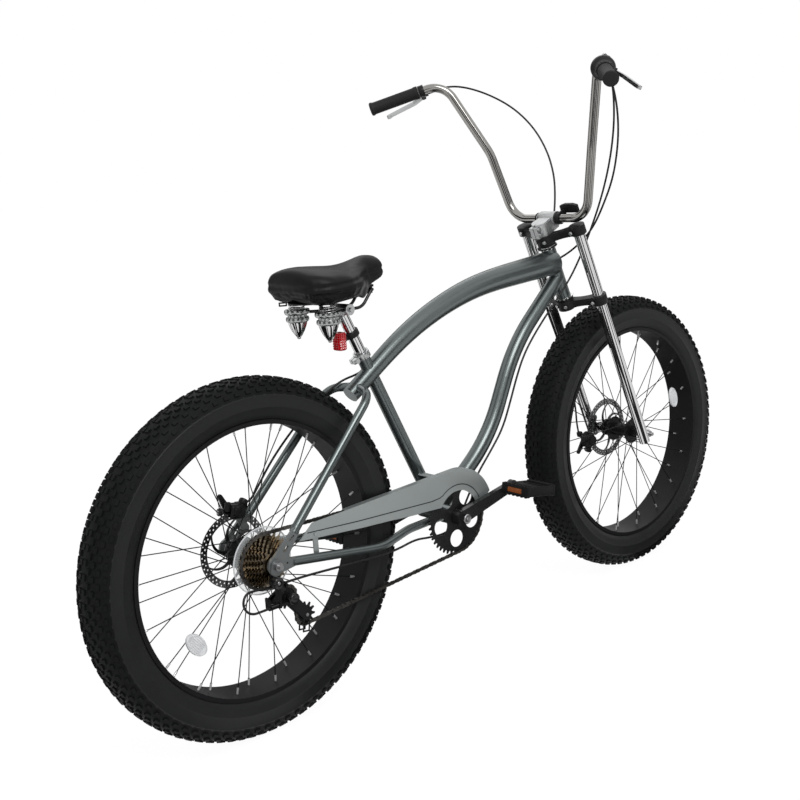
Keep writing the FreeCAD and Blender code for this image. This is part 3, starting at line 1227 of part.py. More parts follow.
def freewheel():
    """Seven sprockets on one freewheel body, largest nearest the spokes."""
    inner = size("freewheel_bore")
    body_radius = size("freewheel_body")
    near = SPROCKET_PLANE + 3
    far = SPROCKET_PLANE - 6 * size("sprocket_pitch") - 2
    solid = turned_y([(near, inner), (far, inner), (far, body_radius), (near, body_radius)])
    for number, teeth in enumerate(SPROCKET_TEETH):
        disc = toothed_disc(teeth, size("sprocket_wall"), SPROCKET_PLANE - number * size("sprocket_pitch"))
        solid = solid.fuse(disc.cut(y_rod(0, 0, body_radius - 1, -200, 0)))
    return solid


keep_shape("freewheel", freewheel(), FreeCAD.Placement(REAR, FreeCAD.Rotation()))

GUIDE = REAR + V(size("guide_pulley_ahead"), 0, -size("guide_pulley_drop"))
TENSION = REAR + V(size("tension_pulley_ahead"), 0, -size("tension_pulley_drop"))


def pulley(y_middle):
    """A jockey wheel bored for its pin."""
    disc = toothed_disc(int(size("pulley_teeth")), size("chainring_wall"), y_middle)
    return disc.cut(y_rod(0, 0, 3 + FIT, y_middle - 10, y_middle + 10))


keep_shape("guide_pulley", pulley(SPROCKET_PLANE), FreeCAD.Placement(GUIDE, FreeCAD.Rotation()))
keep_shape("tension_pulley", pulley(SPROCKET_PLANE), FreeCAD.Placement(TENSION, FreeCAD.Rotation()))


PIN_FREE_STEPS = 3


def chain():
    """The chain: inner and outer plate bands round the four wheels, joined by pins along the straight runs."""
    pitch = size("chain_pitch")
    wheels = [
        (REAR, pitch * SPROCKET_TEETH[0] / (2 * math.pi), -1, SPROCKET_PLANE),
        (BRACKET, pitch * size("chainring_teeth") / (2 * math.pi), -1, RING_PLANE),
        (TENSION, pitch * size("pulley_teeth") / (2 * math.pi), -1, SPROCKET_PLANE),
        (GUIDE, pitch * size("pulley_teeth") / (2 * math.pi), 1, SPROCKET_PLANE),
    ]
    runs = []
    for number, (centre, radius, turn, plane) in enumerate(wheels):
        following, next_radius, next_turn, next_plane = wheels[(number + 1) % len(wheels)]
        line = following - centre
        tilt = math.asin((turn * radius - next_turn * next_radius) / line.Length)
        angle = math.atan2(line.z, line.x) + tilt
        left = V(-math.sin(angle), 0, math.cos(angle))
        start = centre - left * (turn * radius) + ACROSS * plane
        end = following - left * (next_turn * next_radius) + ACROSS * next_plane
        runs.append((start, end, left, angle))
    half = size("chain_height") / 2
    inner, plate = size("chain_inner_half"), size("chain_plate")

    def section(point, left, side):
        near, far = ACROSS * (side * inner), ACROSS * (side * (inner + plate))
        corners = [point + near - left * half, point + far - left * half, point + far + left * half,
                   point + near + left * half]
        return Part.makePolygon(corners + corners[:1])

    pieces = []
    for side in SIDES:
        for number, (start, end, left, angle) in enumerate(runs):
            pieces.append(Part.makeLoft([section(start, left, side), section(end, left, side)], True, True))
            centre, radius, turn, plane = wheels[(number + 1) % len(wheels)]
            next_angle = runs[(number + 1) % len(runs)][3]
            sweep = (next_angle - angle) % (2 * math.pi) if turn > 0 else -((angle - next_angle) % (2 * math.pi))
            face = Part.Face(section(end, left, side))
            pieces.append(face.revolve(centre + ACROSS * plane, ACROSS, -math.degrees(sweep)))
    for start, end, left, angle in runs:
        count = int((end - start).Length / (2 * pitch))
        for number in range(PIN_FREE_STEPS, count - PIN_FREE_STEPS + 1):
            middle = start + (end - start) * (number / count)
            pieces.append(rod(middle - ACROSS * (inner + plate), middle + ACROSS * (inner + plate), 2))
    return pieces[0].multiFuse(pieces[1:])


keep_shape("chain", chain())

HANGER_BOLT = REAR - V(size("hanger_bolt_back"), 0, size("hanger_bolt_drop"))
LINK_X = HANGER_BOLT.x + 10
LINK_HALF = size("link_thickness") / 2
LINK_ANGLE = math.radians(size("link_rest_angle"))
LINK_TOP = V(LINK_X, size("link_pivot_y"), REAR.z - size("link_pivot_drop"))
LINK_END = LINK_TOP + V(0, math.sin(LINK_ANGLE), -math.cos(LINK_ANGLE)) * size("link_length")


CABLE_BARREL = LINK_TOP - V(29, 0, 29)


def derailleur_mount():
    """The hanger under the axle nut and the fixed knuckle with the pin that the link swings on."""
    low = -FRAME_OUTER - size("hanger_wall")
    bolt = (HANGER_BOLT.x, HANGER_BOLT.z)
    hanger = side_plate((REAR.x, REAR.z), bolt, 14, 10, low, -FRAME_OUTER)
    hanger = hanger.cut(y_rod(REAR.x, REAR.z, size("axle_radius") + FIT, low - 1, -FRAME_OUTER + 1))
    knuckle = y_rod(bolt[0], bolt[1], 11, low - 17, low)
    ears = []
    for sign in SIDES:
        near = LINK_X + sign * (LINK_HALF + GAP)
        far = near + sign * 5
        ears.append(box(V(near, LINK_TOP.y - 7, LINK_TOP.z - 6), V(far, LINK_TOP.y + 7, bolt[1] - 4)))
    back = LINK_X - LINK_HALF - GAP
    ears.append(box(V(back - 5, LINK_TOP.y - 7, CABLE_BARREL.z - 5), V(back, LINK_TOP.y + 7, LINK_TOP.z)))
    ears.append(rod(CABLE_BARREL, CABLE_BARREL + V(back - CABLE_BARREL.x, 0, 0), 5))
    pin = rod(LINK_TOP - V(LINK_HALF + 5, 0, 0), LINK_TOP + V(LINK_HALF + 5, 0, 0), 3)
    knuckle = knuckle.cut(rod(LINK_TOP - V(LINK_HALF + GAP, 0, 0), LINK_TOP + V(LINK_HALF + GAP, 0, 0), 9))
    return [hanger, knuckle.fuse(ears).fuse(pin)]


keep_shape("derailleur_mount", derailleur_mount())


def derailleur_link():
    """The swinging link, bored at both ends for its pins."""
    plate = arm_plate((LINK_TOP.y, LINK_TOP.z), (LINK_END.y, LINK_END.z), 8, 8, -LINK_HALF, LINK_HALF)
    for end in (LINK_TOP, LINK_END):
        plate = plate.cut(Part.makeCylinder(3 + FIT, 4 * LINK_HALF, V(end.y, end.z, -2 * LINK_HALF), UP))
    turn = FreeCAD.Matrix(0, 0, 1, LINK_X, 1, 0, 0, 0, 0, 1, 0, 0, 0, 0, 0, 1)
    plate.Placement = FreeCAD.Placement(turn)
    return plate


keep_shape("derailleur_link", derailleur_link())
CAGE_OUTER = SPROCKET_PLANE - size("cage_half") - size("cage_wall")
CAGE_INNER = SPROCKET_PLANE + size("cage_half") + size("cage_wall")


def derailleur_knuckle():
    """The moving knuckle: ears and pin for the link, and the barrel that the cage turns in."""
    outer = CAGE_OUTER - GAP
    barrel = y_rod(GUIDE.x, GUIDE.z, 9, outer - 18, outer)
    ears = []
    for sign in SIDES:
        near = LINK_X + sign * (LINK_HALF + GAP)
        ears.append(box(V(near, LINK_END.y - 6, GUIDE.z - 4), V(near + sign * 5, outer, LINK_END.z + 5)))
    pin = rod(LINK_END - V(LINK_HALF + 5, 0, 0), LINK_END + V(LINK_HALF + 5, 0, 0), 3)
    bridge = box(V(LINK_X - LINK_HALF - 5, outer - 14, GUIDE.z - 8), V(GUIDE.x, outer, GUIDE.z - 3))
    swing = rod(LINK_END - V(LINK_HALF + GAP, 0, 0), LINK_END + V(LINK_HALF + GAP, 0, 0), 8 + GAP)
    solid = barrel.fuse([bridge] + ears).cut(swing).fuse(pin)
    return solid.cut(y_rod(GUIDE.x, GUIDE.z, 4 + FIT, outer - 30, outer + 5))


keep_shape("derailleur_knuckle", derailleur_knuckle())


def derailleur_cage():
    """Two cage plates on the jockey wheels' pins, with the stud that turns in the knuckle."""
    solid = None
    for low, high in ((CAGE_OUTER, CAGE_OUTER + size("cage_wall")), (CAGE_INNER - size("cage_wall"), CAGE_INNER)):
        plate = side_plate((GUIDE.x, GUIDE.z), (TENSION.x, TENSION.z), 13, 11, low, high)
        solid = solid.fuse(plate) if solid else plate
    for pin in (GUIDE, TENSION):
        solid = solid.fuse(y_rod(pin.x, pin.z, 3, CAGE_OUTER, CAGE_INNER))
    return solid.fuse(y_rod(GUIDE.x, GUIDE.z, 4, CAGE_OUTER - 17, CAGE_OUTER))


keep_shape("derailleur_cage", derailleur_cage())

# Cables, each a housing along its real route.
def bar_stop(side, out, rise):
    """The mouth of a cable stop on a lever bracket, and a point ahead of it on its axis."""
    frame = STEERING * lever_frame(side)
    return [frame.multVec(V(-STOP_BACK, out, rise)), frame.multVec(V(-STOP_BACK - 25, out, rise))]


FRONT_BRAKE_ROUTE = [V(330, 250, 1335), V(395, 222, 1312), V(455, 188, 1272), V(492, 152, 1216), V(500, 115, 1150),
                     V(484, 82, 1086), V(458, 60, 1030), V(432, 46, 975), V(412, 43, 920), V(394, 45, 860),
                     V(386, 50, 810), V(393, 58, 763), V(411, 66, 722), V(441, 76, 680), V(482, 80, 589),
                     V(513, 82, 494), V(522, 82, 440)]
REAR_BRAKE_ROUTE = [V(315, -248, 1312), V(350, -236, 1255), V(372, -222, 1195), V(391, -200, 1135), V(413, -165, 1068),
                    V(424, -122, 1002), V(433, -82, 950), V(436, -38, 912), V(428, -4, 886), V(406, 19, 869),
                    V(374, 33, 858), V(335, 36, 853), V(300, 33, 850.5), V(221, 31.5, 844.5), V(150, 30.5, 839.5),
                    V(80, 29, 830), V(0, 27.5, 812), V(-80, 26, 785), V(-160, 25, 749), V(-230, 24.5, 708),
                    V(-280, 28, 688), V(-320, 33, 682), V(-350, 44, 664), V(-385, 56, 638), V(-440, 66, 594),
                    V(-500, 72, 536), V(-535, 80, 485)]
SHIFT_ROUTE = [V(318, -240, 1345), V(358, -222, 1290), V(380, -205, 1220), V(398, -180, 1150), V(414, -148, 1080),
               V(425, -112, 1010), V(424, -78, 940), V(411, -55, 880), V(385, -42, 830), V(349, -32, 786),
               V(306, -26, 746), V(256, -25, 703), V(210, -24, 655), V(178, -24, 602), V(150, -24, 545),
               V(118, -24, 486), V(72, -24, 440), V(16, -26, 392), V(-30, -34, 345), V(-72, -44, 304),
               V(-118, -50, 290), V(-175, -55, 297), V(-225, -62, 308), V(-290, -74, 306), V(-360, -84, 311),
               REAR + V(141, -90, -48), REAR + V(61, -89, -42), REAR + V(-19, -88.5, -40), REAR + V(-72, -92, -32),
               REAR + V(-85, -95, -40), REAR + V(-90, -98, -55), REAR + V(-83, -102, -69), REAR + V(-70, -103.5, -75),
               CABLE_BARREL - V(26, 0, 0), CABLE_BARREL - V(0.4, 0, 0)]
front_route = bar_stop(1, STOP_OUT, 0) + FRONT_BRAKE_ROUTE + front_cable_end
keep_shape("front_brake_cable", cable("front brake cable", front_route))
rear_brake_cable = cable("rear brake cable", bar_stop(-1, STOP_OUT, 0) + REAR_BRAKE_ROUTE + rear_cable_end)
shift_cable = cable("shift cable", bar_stop(-1, SHIFT_STOP_OUT, SHIFT_STOP_RISE) + SHIFT_ROUTE)
keep_shape("frame_cables", [rear_brake_cable, shift_cable])

# Every object is tested before anything is written.
doc.recompute()
for item in doc.Objects:
    if {"Invalid", "Error"} & set(item.State):
        raise RuntimeError(f"{item.Label} failed to build: {item.State}")
for label, feature in nodes.items():
    shape = feature.Shape
    if shape.isNull() or not shape.isValid() or not shape.Solids:
        raise RuntimeError(f"{label} has no valid solid")
os.makedirs("parts", exist_ok=True)
for label, feature in nodes.items():
    feature.Shape.exportStep(f"parts/{label}.step")
print(f"{len(nodes)} sub-parts written")
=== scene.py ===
import bmesh
import bpy
import math
from mathutils import Matrix, Vector


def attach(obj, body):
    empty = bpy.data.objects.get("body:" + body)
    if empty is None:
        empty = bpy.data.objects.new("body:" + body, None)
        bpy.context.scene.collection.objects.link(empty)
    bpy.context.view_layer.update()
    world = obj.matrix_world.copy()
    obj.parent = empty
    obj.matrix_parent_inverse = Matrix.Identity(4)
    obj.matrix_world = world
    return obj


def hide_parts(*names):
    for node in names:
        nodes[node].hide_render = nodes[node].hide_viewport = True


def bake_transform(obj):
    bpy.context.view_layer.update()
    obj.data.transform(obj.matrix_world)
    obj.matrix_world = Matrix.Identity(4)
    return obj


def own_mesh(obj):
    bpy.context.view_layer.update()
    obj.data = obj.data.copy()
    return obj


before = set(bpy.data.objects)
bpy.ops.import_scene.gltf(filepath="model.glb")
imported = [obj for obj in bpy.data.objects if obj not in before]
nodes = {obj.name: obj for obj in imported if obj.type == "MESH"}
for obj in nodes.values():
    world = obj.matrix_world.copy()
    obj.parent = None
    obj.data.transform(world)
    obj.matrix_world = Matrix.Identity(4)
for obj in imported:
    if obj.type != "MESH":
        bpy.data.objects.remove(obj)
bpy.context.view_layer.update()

scene = bpy.context.scene
scene.view_settings.view_transform = "Standard"
MM = 0.001
SAME_PLACE = 1e-6
FULL_TURN = 2 * math.pi
SIDES = (-1, 1)
ACROSS, UPWARD, TO_RIGHT = Vector((0, 1, 0)), Vector((0, 0, 1)), Vector((0, -1, 0))


def at(x, y, z):
    """A place in the row frame, given in millimetres."""
    return Vector((x, y, z)) * MM


def basis(origin, x_axis, y_axis, z_axis):
    """The matrix of a frame with these axes at a point."""
    turn = Matrix((x_axis, y_axis, z_axis)).transposed().to_4x4()
    return Matrix.Translation(origin) @ turn


def towards(origin, direction):
    """A place at a point with its Z axis along a direction."""
    return Matrix.Translation(origin) @ direction.to_track_quat("Z", "Y").to_matrix().to_4x4()


def spoke_ways(angle):
    """The directions out from a wheel's axis at an angle, and along its turn."""
    return Vector((math.cos(angle), 0, math.sin(angle))), Vector((-math.sin(angle), 0, math.cos(angle)))


REAR_AXLE = at(-621, 0, 372)
FRONT_AXLE = at(621, 0, 372)
WHEELS = (("front", FRONT_AXLE, 58), ("rear", REAR_AXLE, 62))  # name, axle, seat of the rotor along Y
CRANK_AXIS = at(-96, 0, 328)
CRANK_LENGTH = 0.165
GUIDE_PULLEY = at(-575, 0, 284)
TENSION_PULLEY = at(-534, 0, 233)
HEAD_ANGLE = math.radians(68.5)
FORK_OFFSET = 0.058
STEER_UP = Vector((-math.cos(HEAD_ANGLE), 0, math.sin(HEAD_ANGLE)))
STEER_AHEAD = Vector((math.sin(HEAD_ANGLE), 0, math.cos(HEAD_ANGLE)))
STEER_FOOT = FRONT_AXLE - Vector((FORK_OFFSET / math.sin(HEAD_ANGLE), 0, 0))
STEERING = basis(STEER_FOOT, STEER_AHEAD, ACROSS, STEER_UP)
SEAT_ANGLE = math.radians(64.8)
SEAT_UP = Vector((-math.cos(SEAT_ANGLE), 0, math.sin(SEAT_ANGLE)))
SEAT_AHEAD = Vector((math.sin(SEAT_ANGLE), 0, math.cos(SEAT_ANGLE)))


# Shader helpers
FLOAT, COLOUR = "NodeSocketFloat", "NodeSocketColor"
MIX_FIRST, MIX_SECOND, MIX_RESULT = 6, 7, 2  # the colour sockets of a mix node
CLOUD_IN = (("Colour", COLOUR), ("Second", COLOUR), ("Scale", FLOAT), ("Roughness", FLOAT), ("Spread", FLOAT))
CLOUD_OUT = (("Colour", COLOUR), ("Roughness", FLOAT), ("Height", FLOAT))
SPECK_SCALE = 1400
GRAIN_DEPTH = 0.0004


def set_inputs(node, values):
    """Set a shader node's inputs by name or number."""
    for label, value in values.items():
        node.inputs[label].default_value = value


def add_node(tree, kind, values=(), operation=None):
    """A new shader node with its input values and operation."""
    node = tree.nodes.new("ShaderNode" + kind)
    if operation:
        node.operation = operation
    set_inputs(node, dict(values))
    return node


def add_colour_mix(tree):
    """A node that mixes two colours."""
    mix = add_node(tree, "Mix")
    mix.data_type = "RGBA"
    return mix


def wire(tree, *links):
    """Join shader nodes, each link given as node, output, node, input."""
    for source, output, target, entry in links:
        tree.links.new(source.outputs[output], target.inputs[entry])


def new_material(name):
    """A material with its node tree and Principled shader."""
    material = bpy.data.materials.new(name)
    material.use_nodes = True
    return material, material.node_tree, material.node_tree.nodes["Principled BSDF"]


def make_cloudy():
    """Slow cloudy change of a colour and its roughness, with fine specks."""
    tree = bpy.data.node_groups.new("cloudy_surface", "ShaderNodeTree")
    for way, sockets in (("INPUT", CLOUD_IN), ("OUTPUT", CLOUD_OUT)):
        for label, kind in sockets:
            tree.interface.new_socket(label, in_out=way, socket_type=kind)
    given, put = tree.nodes.new("NodeGroupInput"), tree.nodes.new("NodeGroupOutput")
    place = add_node(tree, "TexCoord")
    cloud = add_node(tree, "TexNoise", {"Detail": 5})
    speck = add_node(tree, "TexNoise", {"Scale": SPECK_SCALE})
    mix = add_colour_mix(tree)
    centre = add_node(tree, "Math", {1: 0.5}, "SUBTRACT")
    spread = add_node(tree, "Math", operation="MULTIPLY_ADD")
    wire(tree, (place, "Object", cloud, "Vector"), (place, "Object", speck, "Vector"),
         (given, "Scale", cloud, "Scale"), (cloud, "Fac", mix, "Factor"), (given, "Colour", mix, MIX_FIRST),
         (given, "Second", mix, MIX_SECOND), (mix, MIX_RESULT, put, "Colour"), (cloud, "Fac", centre, 0),
         (centre, 0, spread, 0), (given, "Spread", spread, 1), (given, "Roughness", spread, 2),
         (spread, 0, put, "Roughness"), (speck, "Fac", put, "Height"))
    return tree


CLOUDY = make_cloudy()


def finish(name, colour, second, metallic=0.0, roughness=0.4, spread=0.15, scale=9, bump=0.05, coat=0.0,
           coat_roughness=0.1, specular=0.5):
    """A material whose colour and roughness drift over the surface, with a fine grain in its bump."""
    material, tree, shader = new_material(name)
    cloud = add_node(tree, "Group")
    cloud.node_tree = CLOUDY
    set_inputs(cloud, {"Colour": (*colour, 1), "Second": (*second, 1), "Scale": scale, "Roughness": roughness,
                       "Spread": spread})
    grain = add_node(tree, "Bump", {"Strength": bump, "Distance": GRAIN_DEPTH})
    set_inputs(shader, {"Metallic": metallic, "Specular IOR Level": specular, "Coat Weight": coat,
                        "Coat Roughness": coat_roughness})
    wire(tree, (cloud, "Colour", shader, "Base Color"), (cloud, "Roughness", shader, "Roughness"),
         (cloud, "Height", grain, "Height"), (grain, "Normal", shader, "Normal"))
    return material


def grey(level):
    """An even grey."""
    return level, level, level


# Finishes
frame_paint = finish("frame_paint", (0.108, 0.126, 0.125), (0.14, 0.16, 0.158), metallic=0.8, roughness=0.28,
                     spread=0.06, scale=6, bump=0.01, coat=0.25, coat_roughness=0.15)
# Chain guard: the frame's paint made lighter, a painted reflection of the bright surroundings on its flat face
guard_paint_painted_reflection = finish("guard_paint_painted_reflection", (0.34, 0.375, 0.372), (0.40, 0.435, 0.43), metallic=0.6, roughness=0.36,
                     spread=0.1, scale=6, bump=0.01, coat=0.2, coat_roughness=0.2)
# Handlebar: a darker, warmer copy of the chrome; its darkness is painted shade for the darker reflections the bar
# shows
bar_chrome_painted_shade = finish("bar_chrome_painted_shade", (0.27, 0.262, 0.25), (0.34, 0.332, 0.318), metallic=1, roughness=0.1,
                    spread=0.05, bump=0.01)
chrome = finish("chrome_plate", grey(0.6), grey(0.68), metallic=1, roughness=0.07, spread=0.05, bump=0.01)
silver = finish("polished_alloy", (0.46, 0.465, 0.47), (0.56, 0.565, 0.57), metallic=1, roughness=0.3, scale=20)
cast_silver = finish("cast_alloy", (0.44, 0.445, 0.45), (0.55, 0.555, 0.56), metallic=0.9, scale=26, bump=0.12)
steel = finish("plain_steel", (0.36, 0.36, 0.37), (0.5, 0.5, 0.51), metallic=1, roughness=0.34, spread=0.2, scale=30)
disc_steel = finish("disc_steel", (0.15, 0.15, 0.152), (0.24, 0.24, 0.243), metallic=1, roughness=0.32, spread=0.2,
                    scale=30)
gloss_black = finish("gloss_black", (0.008, 0.008, 0.009), (0.014, 0.014, 0.015), roughness=0.24, spread=0.12,
                     coat=0.15, specular=0.35)
satin_black = finish("satin_black", (0.008, 0.008, 0.009), (0.015, 0.015, 0.016), spread=0.2, bump=0.12,
                     specular=0.2)
rim_black = finish("rim_black", (0.006, 0.006, 0.007), (0.010, 0.010, 0.011), roughness=0.5, specular=0.16)
rubber = finish("tyre_rubber", (0.008, 0.0085, 0.0085), (0.015, 0.0155, 0.0155), roughness=0.46, spread=0.3,
                scale=14, bump=0.2, specular=0.24)
tread_rubber = finish("tread_rubber", (0.004, 0.0045, 0.0045), (0.009, 0.0095, 0.0095), roughness=0.6, spread=0.3,
                      scale=30, bump=0.25, specular=0.1)
grip_rubber = finish("grip_rubber", grey(0.008), grey(0.014), roughness=0.6, spread=0.2, bump=0.3, specular=0.25)
sprocket_steel = finish("sprocket_steel", (0.13, 0.105, 0.072), (0.40, 0.33, 0.24), metallic=1, roughness=0.25,
                        spread=0.2, scale=40)
chain_steel = finish("chain_steel", (0.05, 0.047, 0.043), (0.17, 0.16, 0.15), metallic=0.95, roughness=0.3,
                     spread=0.3, scale=60)
sheath = finish("cable_sheath", grey(0.008), grey(0.014), spread=0.1, specular=0.3)
red_lens = finish("red_lens", (0.3, 0.002, 0.006), (0.62, 0.012, 0.018), roughness=0.1, spread=0.08, scale=90,
                  coat=0.6)
amber_lens = finish("amber_lens", (0.22, 0.055, 0.012), (0.36, 0.10, 0.02), roughness=0.2, spread=0.1, scale=60,
                    coat=0.3)
dropout_grey = finish("dropout_grey", (0.17, 0.182, 0.182), (0.24, 0.253, 0.253), metallic=0.75, roughness=0.36,
                      scale=24, bump=0.02)
pedal_black = finish("pedal_black", grey(0.007), grey(0.014), roughness=0.5, spread=0.25, bump=0.2, specular=0.12)
ring_grey = finish("ring_grey", (0.38, 0.392, 0.392), (0.47, 0.482, 0.482), metallic=1, roughness=0.24, scale=30,
                   bump=0.02)
clear_lens = finish("clear_lens", (0.62, 0.64, 0.66), (0.78, 0.79, 0.8), roughness=0.18, spread=0.1, scale=70,
                    coat=0.6)
stripe = finish("guard_stripe", (0.014, 0.016, 0.016), (0.022, 0.024, 0.024), roughness=0.35, specular=0.3)
LEATHER_SCALE = 900
LEATHER_STRENGTH = 0.25
NIPPLES_FROM, PROTECTOR_FROM, HANGER_BLACK_FROM = 0.2625, 0.0375, 0.0205  # distances from an axle


def make_vinyl():
    """Saddle cover: black vinyl with a leather grain."""
    material = finish("saddle_vinyl", grey(0.006), grey(0.011), roughness=0.42, scale=12, specular=0.13)
    tree = material.node_tree
    cell = add_node(tree, "TexVoronoi", {"Scale": LEATHER_SCALE})
    bump = next(node for node in tree.nodes if node.type == "BUMP")
    set_inputs(bump, {"Strength": LEATHER_STRENGTH})
    wire(tree, (add_node(tree, "TexCoord"), "Object", cell, "Vector"), (cell, "Distance", bump, "Height"))
    return material


vinyl = make_vinyl()


def recolour(material, axle, beyond, colour):
    """Another colour on what lies further than a radius from an axle; gives the tree and the mask."""
    tree = material.node_tree
    cloud = next(node for node in tree.nodes if node.type == "GROUP")
    centred = add_node(tree, "Mapping", {"Location": (-axle.x, 0, -axle.z), "Scale": (1, 0, 1)})
    reach = add_node(tree, "VectorMath", operation="LENGTH")
    mask = add_node(tree, "Math", {1: beyond}, "GREATER_THAN")
    mix = add_colour_mix(tree)
    set_inputs(mix, {MIX_SECOND: (*colour, 1)})
    wire(tree, (add_node(tree, "TexCoord"), "Object", centred, "Vector"), (centred, "Vector", reach, 0),
         (reach, "Value", mask, 0), (mask, 0, mix, "Factor"), (cloud, "Colour", mix, MIX_FIRST),
         (mix, MIX_RESULT, tree.nodes["Principled BSDF"], "Base Color"))
    return tree, mask


def make_spoke_finish(name, axle):
    """Black spokes whose ends beyond a radius are bright nipples."""
    material = finish(name, (0.012, 0.012, 0.013), (0.022, 0.022, 0.023), metallic=0.6, roughness=0.3)
    recolour(material, axle, NIPPLES_FROM, grey(0.78))
    return material


def make_hub_finish():
    """Black hub; the spoke protector round it is clear plastic."""
    material = finish("rear_hub_black", (0.009, 0.009, 0.01), (0.018, 0.018, 0.019), roughness=0.38, specular=0.3)
    tree, mask = recolour(material, REAR_AXLE, PROTECTOR_FROM, (0.8, 0.83, 0.84))
    clear = add_node(tree, "MapRange", {"To Min": 1, "To Max": 0.2})
    wire(tree, (mask, 0, clear, "Value"), (clear, "Result", tree.nodes["Principled BSDF"], "Alpha"))
    return material


def make_hanger_finish():
    """A grey plate at the axle, black from the mounting bolt on."""
    material = finish("hanger_grey", (0.15, 0.16, 0.16), (0.22, 0.232, 0.232), metallic=0.7, roughness=0.36, scale=24)
    recolour(material, REAR_AXLE, HANGER_BLACK_FROM, (0.011, 0.011, 0.012))
    return material


# The CAD nodes' finishes and rounded edges
PAINTED = {
    frame_paint: ("head_tube", "top_tube", "down_tube", "seat_tube", "bottom_bracket_shell", "chain_stays",
                  "seat_stays"),
    # the guard's lighter paint is a painted reflection
    guard_paint_painted_reflection: ("chain_guard",),
    dropout_grey: ("dropouts",),
    # the bar's darker chrome is painted shade
    bar_chrome_painted_shade: ("handlebar",),
    chrome: ("fork_legs", "seatpost", "saddle_spring_cones"),
    cast_silver: ("stem",),
    silver: ("bearing_cups", "seat_clamp", "saddle_clamp", "left_brake_lever", "right_brake_lever"),
    steel: ("front_rotor", "rear_rotor", "front_axle", "rear_axle"),
    gloss_black: ("crank_arms", "chainring", "saddle_rails", "steerer_tube"),
    satin_black: ("fork_crowns", "derailleur_link", "derailleur_knuckle", "derailleur_cage", "front_brake_caliper",
                  "rear_brake_caliper", "front_caliper_arm", "rear_caliper_arm", "lever_brackets", "saddle_base",
                  "guide_pulley", "tension_pulley", "front_reflector", "front_hub", "left_pedal", "right_pedal",
                  "tail_light"),
    rim_black: ("front_rim", "rear_rim"),
    sprocket_steel: ("freewheel",),
    chain_steel: ("chain", "saddle_springs"),
    sheath: ("frame_cables", "front_brake_cable"),
    rubber: ("front_tyre", "rear_tyre"),
    grip_rubber: ("grips", "shifter_drum"),
    vinyl: ("saddle_cushion",),
    make_spoke_finish("front_spoke_black", FRONT_AXLE): ("front_spokes",),
    make_spoke_finish("rear_spoke_black", REAR_AXLE): ("rear_spokes",),
    make_hub_finish(): ("rear_hub",),
    make_hanger_finish(): ("derailleur_mount",),
}
SOFTENED = {  # width of the rounding in millimetres and its segments
    (4.5, 3): ("fork_crowns",),
    (2.5, 3): ("crank_arms",),
    (2.2, 2): ("stem",),
    (1.6, 2): ("derailleur_link",),
    (1.5, 2): ("front_reflector",),
    (1.4, 2): ("derailleur_knuckle",),
    (1.2, 2): ("lever_brackets", "left_brake_lever", "right_brake_lever", "derailleur_mount"),
    (1, 2): ("front_caliper_arm", "rear_caliper_arm", "saddle_clamp"),
    (0.8, 2): ("dropouts", "seat_clamp"),
    (0.4, 1): ("chainring",),
}
SHARP_FROM = math.radians(42)


def paint(obj, material):
    """Give a CAD node one material in place of its own."""
    for place in obj.material_slots:
        place.link = "OBJECT"
        place.material = material
    if not obj.material_slots:
        obj.data.materials.append(material)


def soften(obj, width, segments):
    """Round the sharp edges of a CAD node."""
    weld = obj.modifiers.new("weld", "WELD")
    weld.merge_threshold = SAME_PLACE
    rounded = obj.modifiers.new("rounded_edges", "BEVEL")
    rounded.width = width * MM
    rounded.segments = segments
    rounded.limit_method = "ANGLE"
    rounded.angle_limit = SHARP_FROM
    rounded.harden_normals = True


for material, painted in PAINTED.items():
    for node in painted:
        paint(nodes[node], material)
for (width, segments), softened in SOFTENED.items():
    for node in softened:
        soften(nodes[node], width, segments)


# Shaping helpers
def place_by(bm, matrix, verts=None):
    """Place a bmesh, or some of its points, by a matrix."""
    bmesh.ops.transform(bm, matrix=matrix, verts=verts or bm.verts)
    return bm


def shift_by(bm, step, verts=None):
    """Shift a bmesh, or some of its points."""
    bmesh.ops.translate(bm, vec=step, verts=verts or bm.verts)


def turn_by(bm, angle, axis, verts=None):
    """Turn a bmesh, or some of its points, about an axis of the origin."""
    bmesh.ops.rotate(bm, cent=(0, 0, 0), matrix=Matrix.Rotation(angle, 3, axis), verts=verts or bm.verts)


def scale_by(bm, factors, verts=None):
    """Scale a bmesh, or some of its points, from the origin."""
    bmesh.ops.scale(bm, vec=factors, verts=verts or bm.verts)


def merge(bm, distance=SAME_PLACE):
    """Make one point of those in the same place."""
    bmesh.ops.remove_doubles(bm, verts=bm.verts, dist=distance)


def everything(bm):
    """All points, edges and faces."""
    return bm.verts[:] + bm.edges[:] + bm.faces[:]


def points_of(items):
    """The points among the results of an operator."""
    return [item for item in items if isinstance(item, bmesh.types.BMVert)]


def add_ring(bm, segments, radius):
    """A circle of points about the Z axis, its radius in millimetres."""
    return bmesh.ops.create_circle(bm, segments=segments, radius=radius * MM)["verts"]


def to_object(name, bm, material):
    """An object of a bmesh, linked into the scene."""
    mesh = bpy.data.meshes.new(name)
    bm.to_mesh(mesh)
    bm.free()
    mesh.materials.append(material)
    obj = bpy.data.objects.new(name, mesh)
    scene.collection.objects.link(obj)
    return obj


def piece(name, bm, material, body, replaces=(), sharp=40):
    """Make a finished object of a bmesh, in place, riding on a body."""
    merge(bm)
    bmesh.ops.recalc_face_normals(bm, faces=bm.faces)
    obj = to_object(name, bm, material)
    obj.data.shade_smooth()
    obj.data.set_sharp_from_angle(angle=math.radians(sharp))
    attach(obj, body)
    if replaces:
        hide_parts(*replaces)
    return obj


